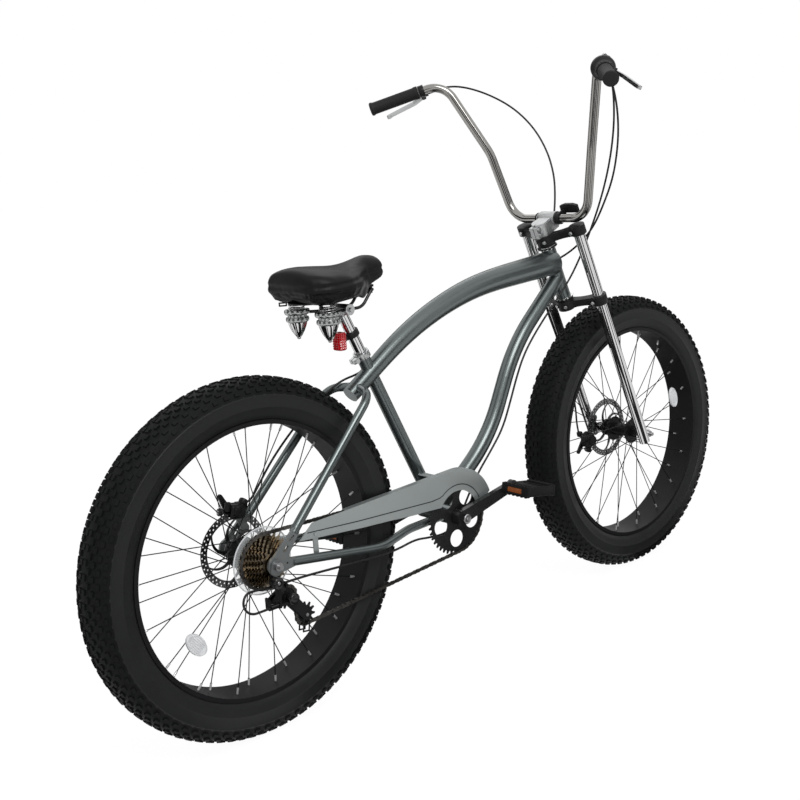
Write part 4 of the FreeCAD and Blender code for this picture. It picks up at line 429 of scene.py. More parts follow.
def lathe(profile, place=Matrix(), steps=48, closed=True):
    """A turned shape about the local Z axis of a place, from (radius, height) corners in millimetres."""
    bm = bmesh.new()
    rim = [bm.verts.new(at(radius, 0, height)) for radius, height in profile]
    pairs = list(zip(rim, rim[1:])) + ([(rim[-1], rim[0])] if closed else [])
    edges = [bm.edges.new(pair) for pair in pairs]
    bmesh.ops.spin(bm, geom=rim + edges, cent=(0, 0, 0), axis=UPWARD, angle=FULL_TURN, steps=steps, use_merge=True)
    merge(bm)
    return place_by(bm, place)


def join(bm, *others):
    """Add other bmeshes to this one."""
    for other in others:
        mesh = bpy.data.meshes.new("joined")
        other.to_mesh(mesh)
        other.free()
        bm.from_mesh(mesh)
        bpy.data.meshes.remove(mesh)
    return bm


def round_edges(bm, width, segments):
    """Bevel every edge by a width in millimetres."""
    bmesh.ops.bevel(bm, geom=bm.edges[:], offset=width * MM, offset_type="OFFSET", segments=segments, profile=0.5,
                    affect="EDGES", material=-1)


def block(low, high, place=Matrix(), round_by=1.0, segments=2):
    """A block with rounded edges between two corners in millimetres."""
    bm = bmesh.new()
    bmesh.ops.create_cube(bm, size=1)
    low, high = Vector(low), Vector(high)
    scale_by(bm, (high - low) * MM)
    shift_by(bm, (high + low) * (MM / 2))
    round_edges(bm, round_by, segments)
    return place_by(bm, place)


def hex_head(radius, height, place):
    """A hexagonal bolt head with a chamfered top."""
    bm = bmesh.new()
    bmesh.ops.create_cone(bm, cap_ends=True, segments=6, radius1=radius * MM, radius2=radius * MM, depth=height * MM)
    shift_by(bm, (0, 0, height * MM / 2))
    round_edges(bm, 0.6, 1)
    return place_by(bm, place)


def bolts(name, places, material, body, radius, height):
    """Hexagonal heads at several places on one body."""
    heads = [hex_head(radius, height, towards(origin, direction)) for origin, direction in places]
    piece(name, join(bmesh.new(), *heads), material, body)


def turned(name, profile, places, material, body, steps=40):
    """The same turned shape at several places on one body."""
    shapes = [lathe(profile, place, steps) for place in places]
    piece(name, join(bmesh.new(), *shapes), material, body)


# Camera at the photograph's view, as fitted to the wheels in pixels
IMAGE_SIZE, FOCAL_LENGTH, CENTRE_X, CENTRE_Y = 800, 1129.16, 405.78, 314.46
CAMERA_PLACE = at(-1834.2, -1903.3, 1146.6)
YAW, PITCH, ROLL = math.radians(48.495), math.radians(-7.652), math.radians(-4.135)
SENSOR_WIDTH = 36


def make_camera():
    """The camera with the photograph's place, tilt, focal length and middle."""
    ahead = Vector((math.cos(YAW) * math.cos(PITCH), math.sin(YAW) * math.cos(PITCH), math.sin(PITCH)))
    level_right = ahead.cross(UPWARD).normalized()
    level_up = level_right.cross(ahead)
    right = level_right * math.cos(ROLL) + level_up * math.sin(ROLL)
    up = level_up * math.cos(ROLL) - level_right * math.sin(ROLL)
    data = bpy.data.cameras.new("camera")
    data.sensor_width = SENSOR_WIDTH
    data.lens = SENSOR_WIDTH * FOCAL_LENGTH / IMAGE_SIZE
    data.shift_x = (IMAGE_SIZE / 2 - CENTRE_X) / IMAGE_SIZE
    data.shift_y = (CENTRE_Y - IMAGE_SIZE / 2) / IMAGE_SIZE
    data.clip_end = 200
    camera = bpy.data.objects.new("camera", data)
    camera.matrix_world = basis(CAMERA_PLACE, right, up, -ahead)
    scene.collection.objects.link(camera)
    scene.camera = camera


# Tyres: casing with shoulder, and rows of tread blocks round it
CASING = ((278.5, 33), (279.6, 38), (286, 38.2), (290, 41.5), (300, 46), (311, 48.4), (312.5, 49.2), (314, 48.7),
          (326, 49.4), (335, 48.4), (336.5, 48.9), (338, 47.9), (348, 44.5), (356, 39.5), (362, 32), (366, 22),
          (368, 11), (368.6, 0))
CASING_STEPS = 144
TREAD_STEPS = 86
TREAD_FROM = 0.342
BLOCK_ROOT = 4
BLOCK_TAPER = (0.8, 0.84, 1)
# radius, place across, lean in degrees, width, length, height, stagger in steps
BLOCKS = ((367, 6.4, 4, 9.4, 13, 4.4, 0), (365.6, 17.4, 13, 8, 13.5, 4.9, 0.5), (361.8, 27.6, 26, 8, 13, 5.4, 0),
          (355.8, 36.4, 44, 8, 13.5, 5.6, 0.5), (346.6, 43, 60, 8, 14, 4.4, 0), (337, 46.6, 76, 6, 9, 1.8, 0.5))


def tread_block(radius, across, lean, width, length, height, stagger):
    """One tapered tread block, standing on the casing on both sides of the middle."""
    bm = bmesh.new()
    bmesh.ops.create_cube(bm, size=1)
    scale_by(bm, BLOCK_TAPER, [vert for vert in bm.verts if vert.co.z > 0])
    scale_by(bm, Vector((length, width, height + BLOCK_ROOT)) * MM)
    shift_by(bm, at(0, 0, (height + BLOCK_ROOT) / 2 - BLOCK_ROOT))
    bmesh.ops.delete(bm, geom=[face for face in bm.faces if face.normal.z < -0.9], context="FACES")
    turn_by(bm, math.radians(-lean), "X")
    shift_by(bm, at(0, across, radius))
    bmesh.ops.mirror(bm, geom=everything(bm), axis="Y", merge_dist=1e-7)
    turn_by(bm, FULL_TURN * stagger / TREAD_STEPS, "Y")
    return bm


def make_tyre(name, axle):
    """A fat tyre: the casing turned from its section, with ribs on its walls and blocks on its tread."""
    bm = bmesh.new()
    half = [at(0, across, radius) for radius, across in CASING]
    rim = [bm.verts.new(point) for point in half]
    rim += [bm.verts.new(Vector((0, -point.y, point.z))) for point in half[-2::-1]]
    edges = [bm.edges.new(pair) for pair in zip(rim, rim[1:])]
    bmesh.ops.spin(bm, geom=rim + edges, cent=(0, 0, 0), axis=ACROSS, angle=FULL_TURN, steps=CASING_STEPS,
                   use_merge=True)
    merge(bm)
    for row in BLOCKS:
        tread = tread_block(*row)
        bmesh.ops.spin(tread, geom=everything(tread), cent=(0, 0, 0), axis=ACROSS,
                       angle=FULL_TURN * (1 - 1 / TREAD_STEPS), steps=TREAD_STEPS - 1, use_duplicate=True)
        join(bm, tread)
    shift_by(bm, axle)
    obj = piece(f"{name}_fat_tyre", bm, rubber, f"{name}_wheel", (f"{name}_tyre",), sharp=32)
    obj.data.materials.append(tread_rubber)
    for face in obj.data.polygons:
        if math.hypot(face.center.x - axle.x, face.center.z - axle.z) > TREAD_FROM:
            face.material_index = 1


REFLECTOR_REACH, REFLECTOR_SIDE = 0.205, 0.030


def make_spoke_reflector(name, axle, angle):
    """A clear reflector clipped between two spokes: an oval dish with a rim and a ribbed middle."""
    bm = lathe([(0, -4), (13, -4), (16.5, -2.5), (17.5, 0), (16.5, 3), (14.5, 4.2), (13.5, 3), (0, 3)], steps=40)
    for offset in range(-10, 14, 4):
        join(bm, block((offset - 1.2, -9, 2.6), (offset + 1.2, 9, 4), round_by=0.5))
    scale_by(bm, (1, 1.75, 1))
    out, side = spoke_ways(math.radians(angle))
    place_by(bm, basis(axle + out * REFLECTOR_REACH - Vector((0, REFLECTOR_SIDE, 0)), out, side, TO_RIGHT))
    piece(f"{name}_reflector_clip", bm, clear_lens, f"{name}_wheel")


# Chain: links along the four wheels' tangents
LINK_PITCH = 12.7
# centre, teeth, way of turning, place along Y
CHAIN_WHEELS = ((REAR_AXLE, 28, -1, -50), (CRANK_AXIS, 42, -1, -64), (TENSION_PULLEY, 11, -1, -50),
                (GUIDE_PULLEY, 11, 1, -50))
INNER_LINK, OUTER_LINK = (1.2, 2.1), (2.2, 3.1)
ROLLER_RADIUS = 3.4


def pitch_radius(teeth):
    """The radius of a wheel's pitch line."""
    return LINK_PITCH * teeth / FULL_TURN * MM


def chain_runs():
    """The straight runs in order along the chain: start, end and angle."""
    runs = []
    for number, (centre, teeth, turn, plane) in enumerate(CHAIN_WHEELS):
        following, next_teeth, next_turn, next_plane = CHAIN_WHEELS[(number + 1) % 4]
        radius, next_radius = pitch_radius(teeth), pitch_radius(next_teeth)
        line = following - centre
        angle = math.atan2(line.z, line.x) + math.asin((turn * radius - next_turn * next_radius) / line.length)
        left = spoke_ways(angle)[1]
        runs.append((centre - left * (turn * radius) + at(0, plane, 0),
                     following - left * (next_turn * next_radius) + at(0, next_plane, 0), angle))
    return runs


def chain_pins():
    """Pin places one pitch apart all round the chain."""
    runs = chain_runs()
    stretches = []
    for number, (start, end, angle) in enumerate(runs):
        stretches.append(("run", (end - start).length, start, end))
        centre, teeth, turn, plane = CHAIN_WHEELS[(number + 1) % 4]
        next_angle = runs[(number + 1) % 4][2]
        sweep = (next_angle - angle) % FULL_TURN if turn > 0 else -((angle - next_angle) % FULL_TURN)
        stretches.append(("arc", abs(sweep) * pitch_radius(teeth), end, (centre + at(0, plane, 0), sweep)))
    total = sum(stretch[1] for stretch in stretches)
    count = 2 * round(total / (2 * LINK_PITCH * MM))
    pins = []
    for number in range(count):
        left_over = total * number / count
        for kind, length, start, more in stretches:
            if left_over > length:
                left_over -= length
                continue
            if kind == "run":
                pins.append(start + (more - start) * (left_over / length))
            else:
                centre, sweep = more
                turn = Matrix.Rotation(-sweep * left_over / length, 3, "Y")
                pins.append(centre + turn @ (start - centre))
            break
    return pins


def chain_link(near, far):
    """Both waisted side plates of a link and its roller, lying along X."""
    bm = bmesh.new()
    for side in SIDES:
        ring = bmesh.ops.create_circle(bm, cap_ends=True, segments=12, radius=1)["verts"]
        scale_by(bm, at(10.2, 4.1, 1), ring)
        scale_by(bm, (1, 0.68, 1), [vert for vert in ring if abs(vert.co.x) < 1.5 * MM])
        turn_by(bm, math.pi / 2, "X", ring)
        shift_by(bm, at(0, side * near, 0), ring)
        grown = bmesh.ops.extrude_face_region(bm, geom=[ring[0].link_faces[0]])["geom"]
        shift_by(bm, at(0, side * (far - near), 0), points_of(grown))
    barrel = bmesh.ops.create_cone(bm, cap_ends=True, segments=8, radius1=ROLLER_RADIUS * MM,
                                   radius2=ROLLER_RADIUS * MM, depth=2 * far * MM + 0.0006)
    turn = Matrix.Translation(at(-LINK_PITCH / 2, 0, 0)) @ Matrix.Rotation(math.pi / 2, 4, "X")
    return place_by(bm, turn, barrel["verts"])


def make_chain():
    """The chain, its inner and outer links in turn."""
    pins = chain_pins()
    bm = bmesh.new()
    for number, pin in enumerate(pins):
        following = pins[(number + 1) % len(pins)]
        along = (following - pin).normalized()
        flat = (ACROSS - along * along.y).normalized()
        link = chain_link(*(INNER_LINK if number % 2 else OUTER_LINK))
        join(bm, place_by(link, basis((pin + following) / 2, along, flat, along.cross(flat))))
    piece("roller_chain", bm, chain_steel, "frame", ("chain",))


# Cables: smooth lines through their routes
SHEATH_DIAMETER = 5
BLEND_START, REAR_BRAKE_BLEND, SHIFT_BLEND = at(424, -100, 985), at(370, 34, 857), at(330, -28, 768)
FRONT_BRAKE = ((260.1, 283.6, 1329.3), (277, 266.4, 1335.9), (330, 250, 1335), (395, 222, 1312), (455, 188, 1272),
               (492, 152, 1216), (500, 115, 1150), (484, 82, 1086), (458, 60, 1030), (432, 46, 975), (412, 43, 920),
               (394, 45, 860), (386, 50, 810), (393, 58, 763), (411, 66, 722), (441, 76, 680), (482, 80, 589),
               (513, 82, 494), (522, 82, 440), (522, 81.5, 397), (527.4, 81.5, 375.5))
REAR_BRAKE = ((260.1, -283.6, 1329.3), (277, -266.4, 1335.9), (315, -248, 1312), (350, -236, 1255),
              (372, -222, 1195), (391, -200, 1135), (413, -165, 1068), (424, -122, 1002), (433, -82, 950),
              (436, -38, 912), (428, -4, 886), (406, 19, 869), (374, 33, 858), (335, 36, 853), (300, 33, 850.5),
              (221, 31.5, 844.5), (150, 30.5, 839.5), (80, 29, 830), (0, 27.5, 812), (-80, 26, 785),
              (-160, 25, 749), (-230, 24.5, 708), (-280, 28, 688), (-320, 33, 682), (-350, 44, 664),
              (-385, 56, 638), (-440, 66, 594), (-500, 72, 536), (-535, 80, 485), (-558, 85.5, 452.4),
              (-579.7, 85.5, 456.1))
SHIFT = ((251.9, -284.1, 1351.9), (268.8, -266.9, 1358.5), (318, -240, 1345), (358, -222, 1290), (380, -205, 1220),
         (398, -180, 1150), (414, -148, 1080), (425, -112, 1010), (424, -78, 940), (411, -55, 880), (385, -42, 830),
         (349, -32, 786), (306, -26, 746), (256, -25, 703), (210, -24, 655), (178, -24, 602), (150, -24, 545),
         (118, -24, 486), (72, -24, 440), (16, -26, 392), (-30, -34, 345), (-72, -44, 304), (-118, -50, 290),
         (-175, -55, 297), (-225, -62, 308), (-290, -74, 306), (-360, -84, 311), (-480, -90, 324), (-560, -89, 330),
         (-640, -88.5, 332), (-693, -92, 340), (-706, -95, 332), (-711, -98, 317), (-704, -102, 303),
         (-691, -103.5, 297), (-678, -104, 297), (-652.4, -104, 297))


def route_line(points):
    """Points along the smooth line of a cable's route."""
    data = bpy.data.curves.new("route", "CURVE")
    data.dimensions = "3D"
    data.resolution_u = 8
    spline = data.splines.new("NURBS")
    spline.points.add(len(points) - 1)
    for target, point in zip(spline.points, points):
        target.co = (*at(*point), 1)
    spline.order_u = 3
    spline.use_endpoint_u = True
    obj = bpy.data.objects.new("route", data)
    scene.collection.objects.link(obj)
    mesh = bpy.data.meshes.new_from_object(obj)
    line = [vert.co.copy() for vert in mesh.vertices]
    bpy.data.objects.remove(obj)
    return line


def make_cable(name, route, node, blend_end=None):
    """A round sheath along its route, for its CAD tube; without a blend end it rides on the steering."""
    line = route_line(route)
    bm = bmesh.new()
    rings = []
    heading = (line[1] - line[0]).normalized()
    across = heading.orthogonal().normalized()
    for number, point in enumerate(line):
        next_heading = (line[min(number + 1, len(line) - 1)] - line[max(number - 1, 0)]).normalized()
        across = (heading.rotation_difference(next_heading) @ across).normalized()
        heading = next_heading
        rings.append(add_ring(bm, 10, SHEATH_DIAMETER / 2))
        place_by(bm, basis(point, across, heading.cross(across), heading), rings[-1])
    for first, second in zip(rings, rings[1:]):
        bmesh.ops.bridge_loops(bm, edges=ring_edges(first) + ring_edges(second))
    bmesh.ops.recalc_face_normals(bm, faces=bm.faces)
    cable = to_object(name, bm, sheath)
    cable.data.shade_smooth()
    if blend_end is None:
        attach(cable, "steering")
    else:
        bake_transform(cable)
    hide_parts(node)


def ring_edges(ring):
    """The edges between the points of one ring."""
    members = set(ring)
    return list({edge for vert in ring for edge in vert.link_edges if set(edge.verts) <= members})


def make_cable_barrels():
    """The bright adjusting barrels where the sheaths leave the lever brackets."""
    places = [towards(at(*route[0]), at(*route[1]) - at(*route[0])) for route in (FRONT_BRAKE, REAR_BRAKE, SHIFT)]
    turned("cable_barrels", [(2.6, -5), (5.6, -5), (5.6, -0.6), (4.8, 0.2), (4.8, 5.4), (5.4, 6), (5.4, 9),
                             (4, 11.6), (2.6, 11.6)], places, silver, "steering", 28)


# Saddle: padding blown up by cloth, shaped, then its seam pressed in
SADDLE_REAR, SADDLE_LENGTH = -0.486, 0.274
SADDLE_WIDTHS = ((0, 0.96), (0.08, 0.87), (0.25, 0.89), (0.42, 1), (0.55, 1.1), (0.66, 1.04), (0.8, 0.85), (1, 0.78))
VOXEL = 0.0045
MOST_SWELL = 0.004
SWELL_FRAMES = 14
PAN_LEVEL, SKIRT_LEVEL, SEAM_LEVEL = 0.8718, 0.892, 0.906
SEAM_RISE, SEAM_HALF, SEAM_DEPTH = 0.016, 0.0045, 0.0028


def clamp(value):
    """A value held between 0 and 1."""
    return min(max(value, 0), 1)


def fade(distance):
    """1 at no distance, falling to 0 at a distance of 1."""
    return max(0, 1 - distance)


def ease(share):
    """A soft step from 0 to 1."""
    return share * share * (3 - 2 * share)


def saddle_share(vert):
    """How far along the saddle a point is, from its rear."""
    return (vert.co.x - SADDLE_REAR) / SADDLE_LENGTH


def welded(node):
    """A bmesh of a CAD node with its seams closed."""
    bm = bmesh.new()
    bm.from_mesh(nodes[node].data)
    merge(bm)
    return bm


def apply_modifiers(obj):
    """Put the result of the modifiers into the mesh."""
    shaped = bpy.data.meshes.new_from_object(obj.evaluated_get(bpy.context.evaluated_depsgraph_get()))
    obj.modifiers.clear()
    obj.data = shaped


def add_smooth(obj, name, iterations):
    """A modifier that evens the surface out."""
    smooth = obj.modifiers.new(name, "SMOOTH")
    smooth.iterations = iterations
    smooth.factor = 0.5


def make_saddle():
    """The padded top: the CAD form remeshed, inflated, and given the seam round its side."""
    obj = to_object("saddle_padding", welded("saddle_cushion"), vinyl)
    remesh = obj.modifiers.new("even", "REMESH")
    remesh.mode = "VOXEL"
    remesh.voxel_size = VOXEL
    add_smooth(obj, "soften", 6)
    apply_modifiers(obj)
    inflate(obj)
    shape_saddle(obj)
    add_smooth(obj, "even_skirt", 5)
    apply_modifiers(obj)
    press_seam(obj)
    finer = obj.modifiers.new("finer", "SUBSURF")
    finer.levels = finer.render_levels = 1
    obj.data.shade_smooth()
    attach(obj, "saddle_top")
    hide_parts("saddle_cushion")


def inflate(obj):
    """Swell the padding under pressure and hold each point near where it was."""
    rest = [vert.co.copy() for vert in obj.data.vertices]
    cloth = obj.modifiers.new("swell", "CLOTH")
    cloth.settings.use_pressure = True
    cloth.settings.uniform_pressure_force = 4
    cloth.settings.effector_weights.gravity = 0
    cloth.point_cache.frame_start = 1
    cloth.point_cache.frame_end = SWELL_FRAMES
    for number in range(1, SWELL_FRAMES + 1):
        scene.frame_set(number)
    apply_modifiers(obj)
    scene.frame_set(1)
    for vert, before in zip(obj.data.vertices, rest):
        step = vert.co - before
        if step.length > MOST_SWELL:
            vert.co = before + step * (MOST_SWELL / step.length)


def saddle_width(share):
    """How much of the plain form's width the padding has at a share of its length."""
    for (near, first), (far, second) in zip(SADDLE_WIDTHS, SADDLE_WIDTHS[1:]):
        if share <= far:
            return first + (second - first) * ease((share - near) / (far - near))
    return SADDLE_WIDTHS[-1][1]


def shape_plan(vert):
    """Give a point of the saddle its place in the outline seen from above."""
    share = clamp(saddle_share(vert))
    rear = fade(share / 0.3)
    vert.co.y *= saddle_width(share)
    vert.co.x += 0.013 * rear * rear


def make_saddle_pan():
    """The pan under the padding, drawn in to its outline."""
    bm = welded("saddle_base")
    for vert in bm.verts:
        rear = fade((vert.co.x - SADDLE_REAR) / 0.08)
        shape_plan(vert)
        vert.co.y *= 0.86
        vert.co.x += 0.01 * rear
    piece("saddle_pan", bm, satin_black, "saddle_top", ("saddle_base",))


def shape_saddle(obj):
    """Fill the rear out, draw the nose in and up, and let the skirt hang over the pan's edge."""
    for vert in obj.data.vertices:
        if vert.normal.z < -0.75:
            vert.co.z = max(vert.co.z, PAN_LEVEL)
        nose = ease(clamp((saddle_share(vert) - 0.5) / 0.35))
        low = clamp((0.926 - vert.co.z) / 0.05)
        skirt = fade(abs(vert.normal.z + 0.5) / 0.5) if vert.co.z < SKIRT_LEVEL else 0
        rear = fade((vert.co.x - SADDLE_REAR) / 0.075)
        high = clamp((vert.co.z - 0.9) / 0.025)
        shape_plan(vert)
        vert.co.y *= 1 - 0.07 * skirt
        vert.co.z += 0.012 * high * rear * rear
        vert.co.x -= 0.009 * nose * nose
        vert.co.x += 0.008 * skirt * fade((vert.co.x - SADDLE_REAR) / 0.06)
        vert.co.z += 0.012 * nose * low
        under = clamp((-vert.normal.z - 0.1) / 0.4) if vert.co.z < SKIRT_LEVEL else 0
        edge = clamp(max((abs(vert.co.y) - 0.055) / 0.035, (-0.428 - vert.co.x) / 0.04))
        vert.co.z += 0.009 * under * edge * (1 - nose)
        hang = fade(abs(saddle_share(vert) - 0.73) / 0.16)
        wide = clamp((abs(vert.co.y) - 0.025) / 0.008)
        vert.co.z -= 0.024 * ease(hang) * low * wide


def press_seam(obj):
    """The seam: a groove round the side, low at the back and rising to the nose."""
    for vert in obj.data.vertices:
        level = SEAM_LEVEL + SEAM_RISE * clamp(saddle_share(vert))
        off = abs(vert.co.z - level) / SEAM_HALF
        if off < 1 and abs(vert.normal.z) < 0.75:
            vert.co -= vert.normal * (SEAM_DEPTH * (1 - off * off))


# Saddle springs
SPRING_X, SPRING_Y = -413, 54
COIL_FOOT, COIL_RADIUS, COIL_HEIGHT, COIL_TURNS, COIL_STEPS, WIRE_RADIUS = 847.5, 17, 18.6, 3.5, 84, 1.5
FLUTES, FLUTE_DEPTH, FLUTES_BELOW, FLUTES_FROM = 9, 0.09, 0.8235, 0.006


def make_saddle_springs():
    """Two rear coil springs, each a wire wound by a screw motion."""
    bm = bmesh.new()
    for side in SIDES:
        coil = bmesh.new()
        ring = add_ring(coil, 10, WIRE_RADIUS)
        turn_by(coil, math.pi / 2, "X", ring)
        shift_by(coil, at(COIL_RADIUS, 0, 0), ring)
        bmesh.ops.spin(coil, geom=ring + coil.edges[:], cent=(0, 0, 0), axis=UPWARD, steps=COIL_STEPS,
                       dvec=at(0, 0, COIL_HEIGHT / COIL_STEPS), angle=FULL_TURN * COIL_TURNS, use_merge=False)
        bmesh.ops.holes_fill(coil, edges=[edge for edge in coil.edges if edge.is_boundary], sides=0)
        shift_by(coil, at(SPRING_X, side * SPRING_Y, COIL_FOOT))
        join(bm, coil)
    obj = piece("saddle_coils", bm, chrome, "seat", ("saddle_springs",), sharp=60)
    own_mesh(obj)


def fluted_cone():
    """A hanging cone with flutes pressed into it."""
    cone = lathe([(20, 825), (21.6, 824), (21.2, 820), (14.6, 805), (7.5, 793.5), (5, 791), (0, 791)], steps=72,
                 closed=False)
    for vert in cone.verts:
        if math.hypot(vert.co.x, vert.co.y) > FLUTES_FROM and vert.co.z < FLUTES_BELOW:
            flute = 0.5 + 0.5 * math.cos(FLUTES * math.atan2(vert.co.y, vert.co.x))
            shrink = 1 - FLUTE_DEPTH * flute
            vert.co.x *= shrink
            vert.co.y *= shrink
    return cone


def make_spring_covers():
    """The double rims under the coil springs, and the fluted cones that hang from them."""
    rims, cones = bmesh.new(), bmesh.new()
    for side in SIDES:
        spot = Matrix.Translation(at(SPRING_X, side * SPRING_Y, 0))
        join(rims, lathe([(12, 845), (20, 845), (20.4, 850.6), (25, 851.8), (27.4, 850.6), (28, 847), (27.6, 843.4),
                          (25.6, 841), (21, 840), (21, 835.6), (24.6, 834.6), (25.6, 831), (25, 826.6),
                          (22.4, 824.4), (20, 824), (12, 836)], spot))
        join(cones, place_by(fluted_cone(), spot),
             lathe([(0, 786.6), (3, 786.8), (4.4, 788.2), (4.4, 790), (3.4, 791.6), (0, 791.6)], spot, 24))
    piece("spring_rims", rims, ring_grey, "seat", ("saddle_spring_cones",))
    piece("spring_cones", cones, chrome, "seat")


def make_saddle_tabs():
    """The pan's moulded tabs beside the springs, each with a slot."""
    bm = bmesh.new()
    for side in SIDES:
        for lean in SIDES:
            spot = Matrix.Translation(at(SPRING_X + lean * 26, side * (SPRING_Y - lean * 13), 0))
            spot = spot @ Matrix.Rotation(side * math.radians(-38), 4, "Z")
            for x in (-9, 6):
                join(bm, block((x, -2, 860.4), (x + 3, 2, 869.5), spot, round_by=0.6))
            for z in (860.4, 866.5):
                join(bm, block((-9, -2, z), (9, 2, z + 3), spot, round_by=0.6))
    piece("saddle_tabs", bm, satin_black, "saddle_top")


# Handlebar, grips and twist shifter, in the frame of the steering axis
BAR_LEVEL = 636.82
BAR_CORNERS = ((40, 0, 0), (40, 120, 0), (78, 168, 171.5), (82, 255, 375.5), (-62, 392, 375.5))
BAR_BENDS = (60, 150, 60)
BAR_RADIUS = 11.1
LEFT_GRIP, RIGHT_GRIP = 130, 84
DRUM_RIBS = 16


def bar_corner(number, side=1):
    """A corner of the bar's line on one side."""
    x, y, z = BAR_CORNERS[number]
    return at(x, side * y, BAR_LEVEL + z)


def push_ring(bm, ring, step):
    """Lengthen a tube by a straight run and give its new end."""
    fresh = points_of(bmesh.ops.extrude_edge_only(bm, edges=ring_edges(ring))["geom"])
    shift_by(bm, step, fresh)
    return fresh


def make_handlebar():
    """The bent bar: a ring pushed along its straight runs and spun round its bends, mirrored at the stem."""
    corners = [bar_corner(number) for number in range(len(BAR_CORNERS))]
    bm = bmesh.new()
    ring = add_ring(bm, 40, BAR_RADIUS)
    place_by(bm, towards(corners[0], corners[1] - corners[0]), ring)
    end = corners[0]
    for corner, following, bend in zip(corners[1:-1], corners[2:], BAR_BENDS):
        before, after = (corner - end).normalized(), (following - corner).normalized()
        turn = before.angle(after)
        cut = bend * MM * math.tan(turn / 2)
        ring = push_ring(bm, ring, corner - before * cut - end)
        inward = (after - before * after.dot(before)).normalized()
        spun = bmesh.ops.spin(bm, geom=ring + ring_edges(ring), cent=corner - before * cut + inward * (bend * MM),
                              axis=before.cross(after), angle=turn, steps=max(8, round(turn * 16)))
        ring = points_of(spun["geom_last"])
        end = corner + after * cut
    ring = push_ring(bm, ring, corners[-1] - end)
    bmesh.ops.edgeloop_fill(bm, edges=ring_edges(ring))
    bmesh.ops.mirror(bm, geom=everything(bm), axis="Y", merge_dist=SAME_PLACE)
    piece("chrome_bar", place_by(bm, STEERING), bar_chrome_painted_shade, "steering", ("handlebar",))


def grip_place(side):
    """The bar's end with Z pointing back along the grip, in the row frame."""
    tip = STEERING @ bar_corner(-1, side)
    return towards(tip, (STEERING @ bar_corner(-2, side) - tip).normalized())


def make_grip(length, side):
    """A plain rubber grip: a lipped end, a slim hand part and a collar."""
    return lathe([(0, -4), (12, -4), (15.5, -3.4), (17.6, -1.5), (17.8, 3), (16.4, 5), (16, 9), (16, length - 14),
                  (16.6, length - 11), (17, length - 9), (17, length - 1.5), (16, length), (11.2, length),
                  (11.2, 0.3), (0, 0.3)], grip_place(side))


def make_shifter():
    """The twist drum with its raised ribs."""
    place = grip_place(-1)
    bm = lathe([(11.2, 84.4), (18.6, 84.4), (19.6, 86), (20.6, 100), (22.4, 105), (26.4, 109), (27.8, 112), (28, 116),
                (27.6, 122), (26, 126), (11.2, 126.4)], place, 56)
    for number in range(DRUM_RIBS):
        rib = block((18.4, -1.5, 87), (20.8, 1.5, 101), round_by=0.8)
        turn_by(rib, FULL_TURN * number / DRUM_RIBS, "Z")
        join(bm, place_by(rib, place))
    piece("twist_drum", bm, satin_black, "shifter", ("shifter_drum",))


# Pedals with reflectors
PEDAL_INNER, PEDAL_WIDTH = 105, 84
CRANK_ANGLE, PEDAL_ANGLE = math.radians(14), math.radians(10)
PEDAL_TEETH, LENS_RIDGES = 6, 8


def make_pedal(hand, side):
    """A platform pedal: open cage with grip teeth, centre barrel and reflectors front and back."""
    centre = CRANK_AXIS + spoke_ways(CRANK_ANGLE)[0] * (-side * CRANK_LENGTH)
    place = Matrix.Translation(centre) @ Matrix.Rotation(PEDAL_ANGLE, 4, "Y")
    low, high = sorted((side * PEDAL_INNER, side * (PEDAL_INNER + PEDAL_WIDTH)))
    bm, lens = bmesh.new(), bmesh.new()
    for x_low, x_high in ((-47.5, -39), (39, 47.5)):
        join(bm, block((x_low, low, -13), (x_high, high, 13), round_by=2.5))
    for y_low, y_high in ((low, low + 9), (high - 9, high)):
        join(bm, block((-41, y_low, -11), (41, y_high, 11), round_by=2))
    join(bm, block((-13, low + 2, -10), (13, high - 2, 10), round_by=4, segments=3))
    for x in (-26, 26):
        join(bm, block((x - 2.5, low + 5, -9), (x + 2.5, high - 5, 9), round_by=1.2))
    for sign in SIDES:
        for number in range(PEDAL_TEETH):
            x, y = sign * 44, low + 10 + number * (high - low - 20) / (PEDAL_TEETH - 1)
            for z in (-13, 13):
                join(bm, block((x - 2, y - 3, z - 1.6), (x + 2, y + 3, z + 1.6), round_by=0.8))
        x_low, x_high = sorted((sign * 46, sign * 49.6))
        for z_low, z_high in ((-9.5, -6.4), (6.4, 9.5)):
            join(bm, block((x_low, low + 16, z_low), (x_high, high - 16, z_high), round_by=0.8))
        for y_low, y_high in ((low + 16, low + 19.6), (high - 19.6, high - 16)):
            join(bm, block((x_low, y_low, -9.5), (x_high, y_high, 9.5), round_by=0.8))
    piece(f"platform_pedal_{hand}", place_by(bm, place), pedal_black, f"pedal_{hand}", (f"{hand}_pedal",))
    for sign in SIDES:
        x_low, x_high = sorted((sign * 46.5, sign * 48.2))
        join(lens, block((x_low, low + 20, -6), (x_high, high - 20, 6), round_by=0.8))
        x_low, x_high = sorted((sign * 47.5, sign * 48.8))
        for number in range(LENS_RIDGES):
            y = low + 22.5 + number * (high - low - 45) / (LENS_RIDGES - 1)
            join(lens, block((x_low, y - 1.2, -5), (x_high, y + 1.2, 5), round_by=0.5))
    piece(f"platform_pedal_{hand}_reflectors", place_by(lens, place), amber_lens, f"pedal_{hand}")


# Tail light on the seat post
LIGHT_HEIGHT = 0.5
LENS_ROWS = [-21 + row * 5.2 for row in range(7)]
LENS_COLUMNS = [-8.4 + column * 5.6 for column in range(4)]
FACET_FOOT, FACET_TOP = 3.9, 0.8


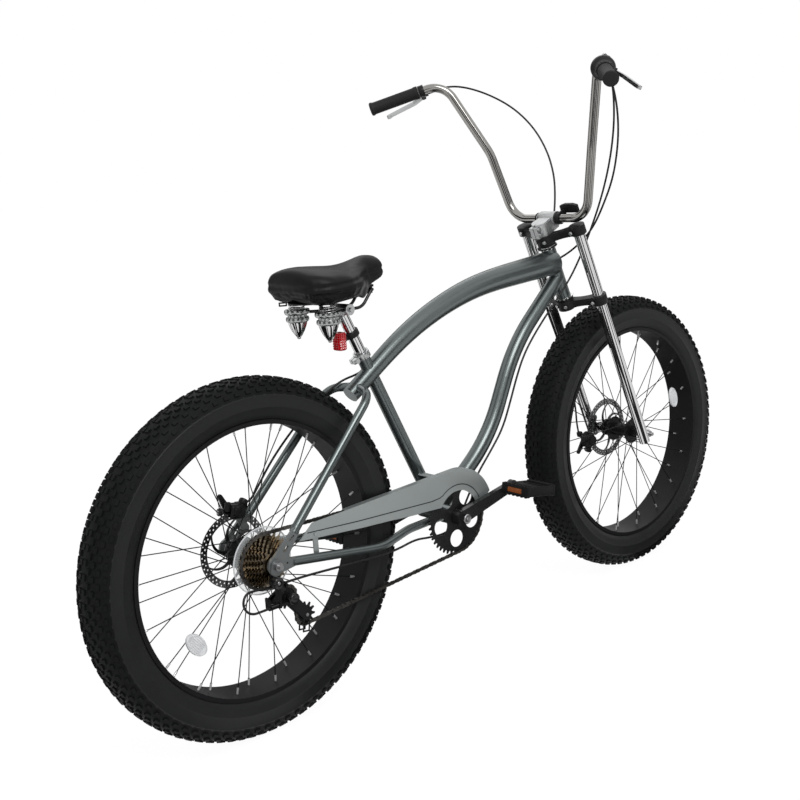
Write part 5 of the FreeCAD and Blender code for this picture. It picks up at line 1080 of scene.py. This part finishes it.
def make_tail_light():
    """The clamp and arm in black, and the ribbed red lens."""
    base = CRANK_AXIS + SEAT_UP * LIGHT_HEIGHT
    place = basis(base, SEAT_AHEAD, ACROSS, SEAT_UP)
    bm = lathe([(12.8, 0), (16.6, 0.6), (16.9, 2), (16.9, 12), (16.6, 13.4), (12.8, 14)], place, 40)
    join(bm, block((-32, -6, 2), (-14, 6, 12), place, round_by=1.5))
    piece("light_clamp", bm, satin_black, "seat", ("tail_light",))
    spot = Matrix.Translation(base + at(-34, 0, 0))
    lens = block((-13, -12.5, -26), (8, 12.5, 14), spot, round_by=4.5)
    facets = [(at(-14, y, z), Vector((-1, 0, 0)), 3) for z in LENS_ROWS for y in LENS_COLUMNS]
    facets += [(at(x, side * 13, z), Vector((0, side, 0)), 2)
               for z in LENS_ROWS for x in LENS_COLUMNS[:3] for side in SIDES]
    for point, outward, depth in facets:
        facet = bmesh.new()
        bmesh.ops.create_cone(facet, segments=4, radius1=FACET_FOOT * MM, radius2=FACET_TOP * MM, depth=depth * MM,
                              cap_ends=True)
        join(lens, place_by(facet, spot @ towards(point, outward)))
    piece("light_lens", lens, red_lens, "seat", sharp=20)


# Bolts and small hardware
CROWN_BOLTS = ((411.1, 411.1), (609.9, 597.9))  # levels at the legs and at the steerer
DISC_BOLTS, DISC_BOLT_RADIUS = 6, 18.6
CRANK_END = 100.6


def make_crown_bolts():
    """The pinch bolts of both crowns, at the legs and at the steerer."""
    places = []
    for leg_level, middle_level in CROWN_BOLTS:
        for side in SIDES:
            places.append((STEERING @ at(9, side * 83, leg_level), -STEER_AHEAD))
            places.append((STEERING @ at(-19, side * 13, middle_level),
                           STEERING.to_3x3() @ Vector((-0.83, side * 0.55, 0))))
    bolts("crown_pinch_bolts", places, silver, "steering", 5, 5)


def make_rotor_bolts(name, axle, seat):
    """The bolts that hold a rotor on its hub."""
    places = []
    for number in range(DISC_BOLTS):
        turn = math.radians(60 * number + 30)
        spot = at(DISC_BOLT_RADIUS * math.cos(turn), seat + 2, DISC_BOLT_RADIUS * math.sin(turn))
        places.append((axle + spot, ACROSS))
    bolts(f"{name}_rotor_bolts", places, gloss_black, f"{name}_wheel", 2.6, 2)


def make_crank_bolts():
    """The bolts in the crank's ends, with a bright washer and ring round each."""
    ends = [(CRANK_AXIS + at(0, side * CRANK_END, 0), Vector((0, side, 0))) for side in SIDES]
    bolts("crank_bolts", ends, steel, "crank", 5.5, 3.4)
    turned("crank_caps", [(6.5, 0), (11.5, 0), (11.5, 1.2), (10.5, 2), (9.4, 1.2), (6.5, 1.2)],
           [towards(*end) for end in ends], steel, "crank")


# Brake rotors
DISC_SECTORS = 40
DISC_INNER, DISC_OUTER = 64.5, 80
DISC_HOLES = ((76.4, 0.5, 2), (70.2, -0.5, 2))  # radius, place in the sector, radius of the hole
DISC_ARMS, ARM_SWEEP, ARM_FROM, ARM_LENGTH = 6, math.radians(42), 20.5, 46


def polar(radius, angle):
    """A place about the Z axis."""
    return at(radius * math.cos(angle), radius * math.sin(angle), 0)


def disc_sector():
    """One flat sector of a rotor's band, with a hole in each of its rows."""
    bm = bmesh.new()
    half = math.pi / DISC_SECTORS
    outline = [(DISC_INNER, turn) for turn in (-1, 0, 1)] + [(DISC_OUTER, turn) for turn in (1, 0, -1)]
    verts = [bm.verts.new(polar(radius, turn * half)) for radius, turn in outline]
    for near, far in zip(verts, verts[1:] + verts[:1]):
        bm.edges.new((near, far))
    for radius, turn, width in DISC_HOLES:
        shift_by(bm, polar(radius, turn * half), add_ring(bm, 8, width))
    bmesh.ops.triangle_fill(bm, edges=bm.edges[:], use_beauty=True)
    return bm


def disc_arm():
    """One flat curved arm of a rotor, from its hub ring to its band."""
    bm = bmesh.new()
    bmesh.ops.create_grid(bm, x_segments=10, y_segments=1, size=1)
    for vert in bm.verts:
        along = (vert.co.x + 1) / 2
        reach = ARM_FROM + ARM_LENGTH * along
        vert.co = polar(reach, ARM_SWEEP * along ** 1.4 + vert.co.y * (4.4 - 1.2 * along) / reach)
    return bm


def ringed(shape, count, thickness):
    """A flat shape repeated round the Z axis and given a thickness below its face."""
    bm = bmesh.new()
    for number in range(count):
        copy = shape.copy()
        turn_by(copy, FULL_TURN * number / count, "Z")
        join(bm, copy)
    shape.free()
    merge(bm, 2 * SAME_PLACE)
    bm.normal_update()
    bmesh.ops.reverse_faces(bm, faces=[face for face in bm.faces if face.normal.z < 0])
    bmesh.ops.solidify(bm, geom=bm.faces[:], thickness=thickness * MM)
    return bm


def make_disc(name, axle, seat):
    """A brake rotor: a band with two staggered rows of holes, six curved arms and a ring on the hub's seat."""
    bm = ringed(disc_sector(), DISC_SECTORS, 2)
    arms = ringed(disc_arm(), DISC_ARMS, 1.7)
    shift_by(arms, at(0, 0, -0.15))
    join(bm, arms, lathe([(15.5, -2), (22.4, -2), (22.4, 0), (15.5, 0)], steps=40))
    place_by(bm, towards(axle + at(0, seat + 2, 0), ACROSS))
    piece(f"{name}_holed_disc", bm, disc_steel, f"{name}_wheel", (f"{name}_rotor",), sharp=30)


# Head, bar clamp and chain guard
def make_headset_rings():
    """Black seals and bright races stacked on the head tube's cups."""
    seals, races = bmesh.new(), bmesh.new()
    for level, direction in ((575, 1), (434, -1)):
        spot = basis(STEERING @ at(0, 0, level), STEER_AHEAD, Vector((0, direction, 0)), STEER_UP * direction)
        join(seals, lathe([(19, 6.6), (22.6, 6.8), (23.2, 7.6), (22.6, 8.6), (19, 8.8)], spot),
             lathe([(20, 2.4), (24.8, 2.5), (25.2, 3.1), (24.8, 3.7), (20, 3.8)], spot))
        join(races, lathe([(20, 0.2), (25.6, 0.3), (26, 1.2), (25.6, 2.2), (20, 2.3)], spot))
    piece("headset_seals", seals, satin_black, "frame")
    piece("headset_races", races, chrome, "frame")


def make_bar_collars():
    """Black collars with a bright band on the bar, at both sides of the stem's clamp."""
    places = [towards(STEERING @ at(40, side * 25.4, BAR_LEVEL), Vector((0, side, 0))) for side in SIDES]
    turned("bar_collars", [(11.2, 0), (14.6, 0.2), (15.2, 1), (15.2, 4), (14.2, 4.6), (14.2, 7.4), (15.2, 8),
                           (15.2, 12), (14.4, 13), (11.2, 13.2)], places, satin_black, "steering")
    turned("bar_collar_bands", [(14, 4.7), (14.9, 4.9), (14.9, 7.1), (14, 7.3)], places, silver, "steering")


GUARD_FACE = -72.1
STRIPE_RADII = (75, 77.4)
STRIPE_FROM, STRIPE_SWEEP = math.radians(22), math.radians(104)
STRIPE_TO = math.radians(126)
STRIPE_TAIL = ((-152, 385.4, 2.4), (-175, 383.8, 2.4), (-388, 396.4, 2.4), (-526, 408, 2.2))  # x, z, width


def make_guard_stripe():
    """A thin dark line round the guard's arch and along its lower edge to the tail."""
    bm = bmesh.new()
    ends = [bm.verts.new(CRANK_AXIS + at(reach * math.cos(STRIPE_FROM), GUARD_FACE, reach * math.sin(STRIPE_FROM)))
            for reach in STRIPE_RADII]
    bmesh.ops.spin(bm, geom=ends + [bm.edges.new(ends)], cent=CRANK_AXIS, axis=TO_RIGHT, angle=STRIPE_SWEEP, steps=40)

    def off_the_end(edge):
        """How far an edge is from the end of the arch."""
        arms = [vert.co - CRANK_AXIS for vert in edge.verts]
        return sum(abs(math.atan2(arm.z, arm.x) - STRIPE_TO) for arm in arms)

    last = min((edge for edge in bm.edges if edge.is_boundary and all(vert.co.x < -0.13 for vert in edge.verts)),
               key=off_the_end)
    for x, z, width in STRIPE_TAIL:
        grown = bmesh.ops.extrude_edge_only(bm, edges=[last])["geom"]
        lower, upper = sorted(points_of(grown), key=lambda vert: vert.co.z)
        lower.co = at(x, GUARD_FACE, z)
        upper.co = at(x, GUARD_FACE, z + width)
        last = bm.edges.get((lower, upper))
    bmesh.ops.recalc_face_normals(bm, faces=bm.faces)
    bmesh.ops.solidify(bm, geom=bm.faces[:], thickness=0.0002)
    piece("guard_pinstripe", bm, stripe, "frame")


# Derailleur and spoke protector
CAGE_DOWN = Vector((-0.15, 0, -0.989)).normalized()
HANGER_BOLT = at(-633, 0, 344)


def make_cage_tail():
    """The open guard at the derailleur cage's tail and the jockey wheel's bolt."""
    place = basis(TENSION_PULLEY + at(0, -50, 0), CAGE_DOWN, ACROSS, CAGE_DOWN.cross(ACROSS))
    bm = bmesh.new()
    for low, high in ((-8.2, -6.4), (6.4, 8.2)):
        for x_low, x_high, z_low, z_high in ((6, 36, -9, -5.5), (6, 36, 5.5, 9), (33, 36.5, -9, 9), (19, 22, -9, 9)):
            join(bm, block((x_low, low, z_low), (x_high, high, z_high), place, round_by=0.7))
    piece("cage_tail", bm, satin_black, "cage")
    bolts("jockey_wheel_bolt", [(TENSION_PULLEY + at(0, -58.1, 0), TO_RIGHT)], steel, "cage", 4, 2.6)


def make_derailleur_dress():
    """The hanger bolt's round head with its socket, and the cap on the moving knuckle."""
    turned("hanger_bolt_head", [(0, -2), (10.5, -2), (11.5, -1), (11.5, 2.6), (10.4, 3.8), (6.4, 4.2), (5.4, 1.6),
                                (0, 1.6)], [towards(HANGER_BOLT + at(0, -111, 0), TO_RIGHT)], gloss_black, "frame")
    bolts("hanger_bolt_socket", [(HANGER_BOLT + at(0, -112.4, 0), TO_RIGHT)], steel, "frame", 4, 1.2)
    turned("knuckle_cap", [(0, -4), (11.6, -4), (12.6, -2), (12.4, 1.4), (10.6, 3.4), (6, 4.6), (0, 4.8)],
           [towards(GUIDE_PULLEY + at(0, -76.4, 0), TO_RIGHT)], gloss_black, "knuckle")


def make_protector_edge():
    """The thick clear edge of the spoke protector."""
    turned("protector_edge", [(67.6, -1), (69.4, -1.2), (70, -0.4), (70, 0.6), (69.4, 1.2), (67.6, 1)],
           [towards(REAR_AXLE + at(0, -42.2, 0), ACROSS)], clear_lens, "rear_wheel", 72)


# Brake calipers
KNOB_RIBS = 12
LUGS = (-21, 21)


def link_plate(first, second, low, high):
    """A flat plate with round ends across the Y axis; each end is a point and a radius in millimetres."""
    bm = bmesh.new()
    for spot, radius in (first, second):
        for level in (low, high):
            place_by(bm, towards(at(spot.x / MM, level, spot.z / MM), ACROSS), add_ring(bm, 24, radius))
    hull = bmesh.ops.convex_hull(bm, input=bm.verts[:])
    bmesh.ops.delete(bm, geom=points_of(hull["geom_interior"] + hull["geom_unused"]), context="VERTS")
    return bm


def make_caliper(name, body, axle, middle, angle, anchor, carrier):
    """A disc caliper astride its rotor: two halves and a bridge, pad knob, mount lugs, cable stop and bracket."""
    out, side = spoke_ways(math.radians(angle))

    def spot(reach, along, height):
        """A place by its reach from the axle, along the turn and across the rotor, in millimetres."""
        return axle + out * (reach * MM) + side * (along * MM) + ACROSS * ((middle + height) * MM)

    local = basis(spot(0, 0, 0), out, side, -ACROSS)
    knob = towards(spot(82, 0, -13.4), -ACROSS)
    bm = block((67, -17, 3.2), (95, 17, 13.8), local, round_by=4.5, segments=3)
    join(bm, block((67, -19, -17.6), (95, 19, -3.2), local, round_by=5, segments=3),
         block((84, -17, -16), (97.4, 17, 12), local, round_by=4.5, segments=3),
         block((84, -26, -27), (96, -11, -12), local, round_by=3, segments=3),
         lathe([(0, 0), (13, 0), (13.6, 0.8), (13.6, 3), (11.4, 4), (11, 6.4), (4, 6.8), (0, 6)], knob, 36))
    for number in range(KNOB_RIBS):
        rib = Matrix.Rotation(FULL_TURN * number / KNOB_RIBS, 4, "Z")
        join(bm, block((10.4, -1, 3), (12.8, 1, 6), knob @ rib, round_by=0.4))
    for along in LUGS:
        join(bm, lathe([(0, -15), (6.4, -15), (6.4, 2.6), (5.6, 3.4), (3.2, 3.4), (3, 1.4), (0, 1.4)],
                       towards(spot(98, along, 0), out), 24))
    join(bm, lathe([(0, 0), (4, 0), (4, 10.4), (3.4, 11), (0, 11)], towards(spot(82, 8, 16), ACROSS), 24),
         lathe([(0, 0), (7, 0), (7, 4), (9.4, 5), (9.8, 7), (9.8, 12), (8.6, 14.6), (5, 16), (0, 16.4)],
               towards(spot(93, -10, -5), (out * 0.9 - side * 0.44).normalized()), 32),
         lathe([(0, 0), (6, 0), (5.4, 14), (7.6, 15), (8.2, 16), (8.2, 22), (7, 23.6), (0, 23.6)],
               towards(spot(80, 14, 9), side), 32))
    piece(f"{name}_caliper_body", bm, satin_black, body, (f"{name}_brake_caliper",))
    turned(f"{name}_caliper_tip", [(0, 0), (4.4, 0), (4.4, 1.4), (3.4, 2.2), (0, 2.2)],
           [towards(spot(80, 37.7, 9), side)], silver, body, 24)
    bracket = link_plate((anchor, 9), (spot(71, -8, 0), 7), middle + 4, middle + 9)
    join(bracket, lathe([(0, middle + 4.2), (7, middle + 4.2), (7, carrier), (0, carrier)],
                        towards(Vector((anchor.x, 0, anchor.z)), ACROSS), 32))
    piece(f"{name}_caliper_bracket", bracket, dropout_grey, body)
    bolts(f"{name}_caliper_bolts", [(spot(101.4, along, 0), out) for along in LUGS], steel, body, 3, 0.8)


# Floor, world and lights
FLOOR_SIZE, FLOOR_LEVEL, FLOOR_GLOW, FLOOR_SHARE = 60, -0.0005, 1.045, 0.92
WORLD_LIGHT, WORLD_SEEN = 0.55, 1.0
LAMP_AIM = Vector((0, 0, 0.6))
CARDS = 8


def add_seen(tree):
    """A value that is 1 for what the camera and reflections see."""
    path = add_node(tree, "LightPath")
    seen = add_node(tree, "Math", operation="MAXIMUM")
    wire(tree, (path, "Is Camera Ray", seen, 0), (path, "Is Glossy Ray", seen, 1))
    return seen


def make_floor():
    """A pale floor that keeps the bicycle's soft shadow."""
    bm = bmesh.new()
    bmesh.ops.create_grid(bm, x_segments=1, y_segments=1, size=FLOOR_SIZE)
    shift_by(bm, (0, 0, FLOOR_LEVEL))
    material, tree, shader = new_material("floor_white")
    set_inputs(shader, {"Base Color": (*grey(0.9), 1), "Roughness": 0.9})
    glow = add_node(tree, "Emission", {"Strength": FLOOR_GLOW})
    part = add_node(tree, "Math", {1: FLOOR_SHARE}, "MULTIPLY")
    mix = add_node(tree, "MixShader")
    wire(tree, (add_seen(tree), 0, part, 0), (part, 0, mix, 0), (shader, 0, mix, 1), (glow, 0, mix, 2),
         (mix, 0, tree.nodes["Material Output"], "Surface"))
    to_object("floor", bm, material)


def make_world():
    """White to the eye and in reflections, a plain grey level as light."""
    world = bpy.data.worlds.new("studio")
    scene.world = world
    world.use_nodes = True
    tree = world.node_tree
    back = tree.nodes["Background"]
    set_inputs(back, {"Color": (1, 1, 1, 1)})
    level = add_node(tree, "MapRange", {"To Min": WORLD_LIGHT, "To Max": WORLD_SEEN})
    wire(tree, (add_seen(tree), 0, level, "Value"), (level, "Result", back, "Strength"))


def make_lamp(name, place, size, power):
    """A soft square lamp."""
    data = bpy.data.lights.new(name, "AREA")
    data.size = size
    data.energy = power
    lamp = bpy.data.objects.new(name, data)
    lamp.matrix_world = towards(place, place - LAMP_AIM)
    scene.collection.objects.link(lamp)


def make_flag(name, place, width, height):
    """A dark card beside the set that only reflections see, so that bright metal shows its form."""
    bm = bmesh.new()
    bmesh.ops.create_grid(bm, x_segments=1, y_segments=1, size=0.5)
    scale_by(bm, (width, height, 1))
    place_by(bm, place)
    material, _, shader = new_material(name)
    set_inputs(shader, {"Base Color": (*grey(0.01), 1), "Roughness": 1})
    obj = to_object(name, bm, material)
    obj.visible_camera = obj.visible_diffuse = obj.visible_shadow = False


def make_flags():
    """Upright cards round the set, and flat ones on the floor between them."""
    for number in range(CARDS):
        turn = math.radians(45 * number + 10)
        place = Vector((math.cos(turn), math.sin(turn), 0)) * 5 + Vector((0, 0, 1.3))
        make_flag(f"flag_{number}", towards(place, Vector((0, 0, 0.9)) - place), 2.4, 3.4)
        out = Vector((math.cos(turn + 0.2), math.sin(turn + 0.2), 0))
        low_place = basis(Vector((0.3, 0, 0.004)) + out * 1.55, out, UPWARD.cross(out), UPWARD)
        make_flag(f"floor_card_{number}", low_place, 2.5, 0.42)


# The scene
make_camera()
for name, axle, seat in WHEELS:
    make_tyre(name, axle)
make_spoke_reflector("front", FRONT_AXLE, 16)
make_spoke_reflector("rear", REAR_AXLE, 218)
make_chain()
make_cable("front_brake_sheath", FRONT_BRAKE, "front_brake_cable")
make_cable("rear_brake_sheath", REAR_BRAKE, "frame_cables", REAR_BRAKE_BLEND)
make_cable("shift_sheath", SHIFT, "frame_cables", SHIFT_BLEND)
make_cable_barrels()
make_saddle()
make_saddle_pan()
make_saddle_springs()
make_spring_covers()
make_saddle_tabs()
make_handlebar()
grips = join(make_grip(LEFT_GRIP, 1), make_grip(RIGHT_GRIP, -1))
piece("rubber_grips", grips, grip_rubber, "steering", ("grips",), sharp=30)
make_shifter()
make_pedal("right", -1)
make_pedal("left", 1)
make_tail_light()
make_crown_bolts()
for wheel in WHEELS:
    make_rotor_bolts(*wheel)
for wheel in WHEELS:
    make_disc(*wheel)
make_crank_bolts()
make_headset_rings()
make_bar_collars()
make_guard_stripe()
make_cage_tail()
make_derailleur_dress()
make_protector_edge()
make_caliper("rear", "frame", REAR_AXLE, 63, 80, REAR_AXLE + at(38, 0, 36), 85)
make_caliper("front", "steering", FRONT_AXLE, 59, 194, STEERING @ at(32, 0, 24), 72.8)
make_floor()
make_world()
make_lamp("key", Vector((-1.5, -3.5, 4.2)), 2.5, 130)
make_lamp("rim", Vector((2.5, 3.5, 4.5)), 3.5, 22)
make_flags()
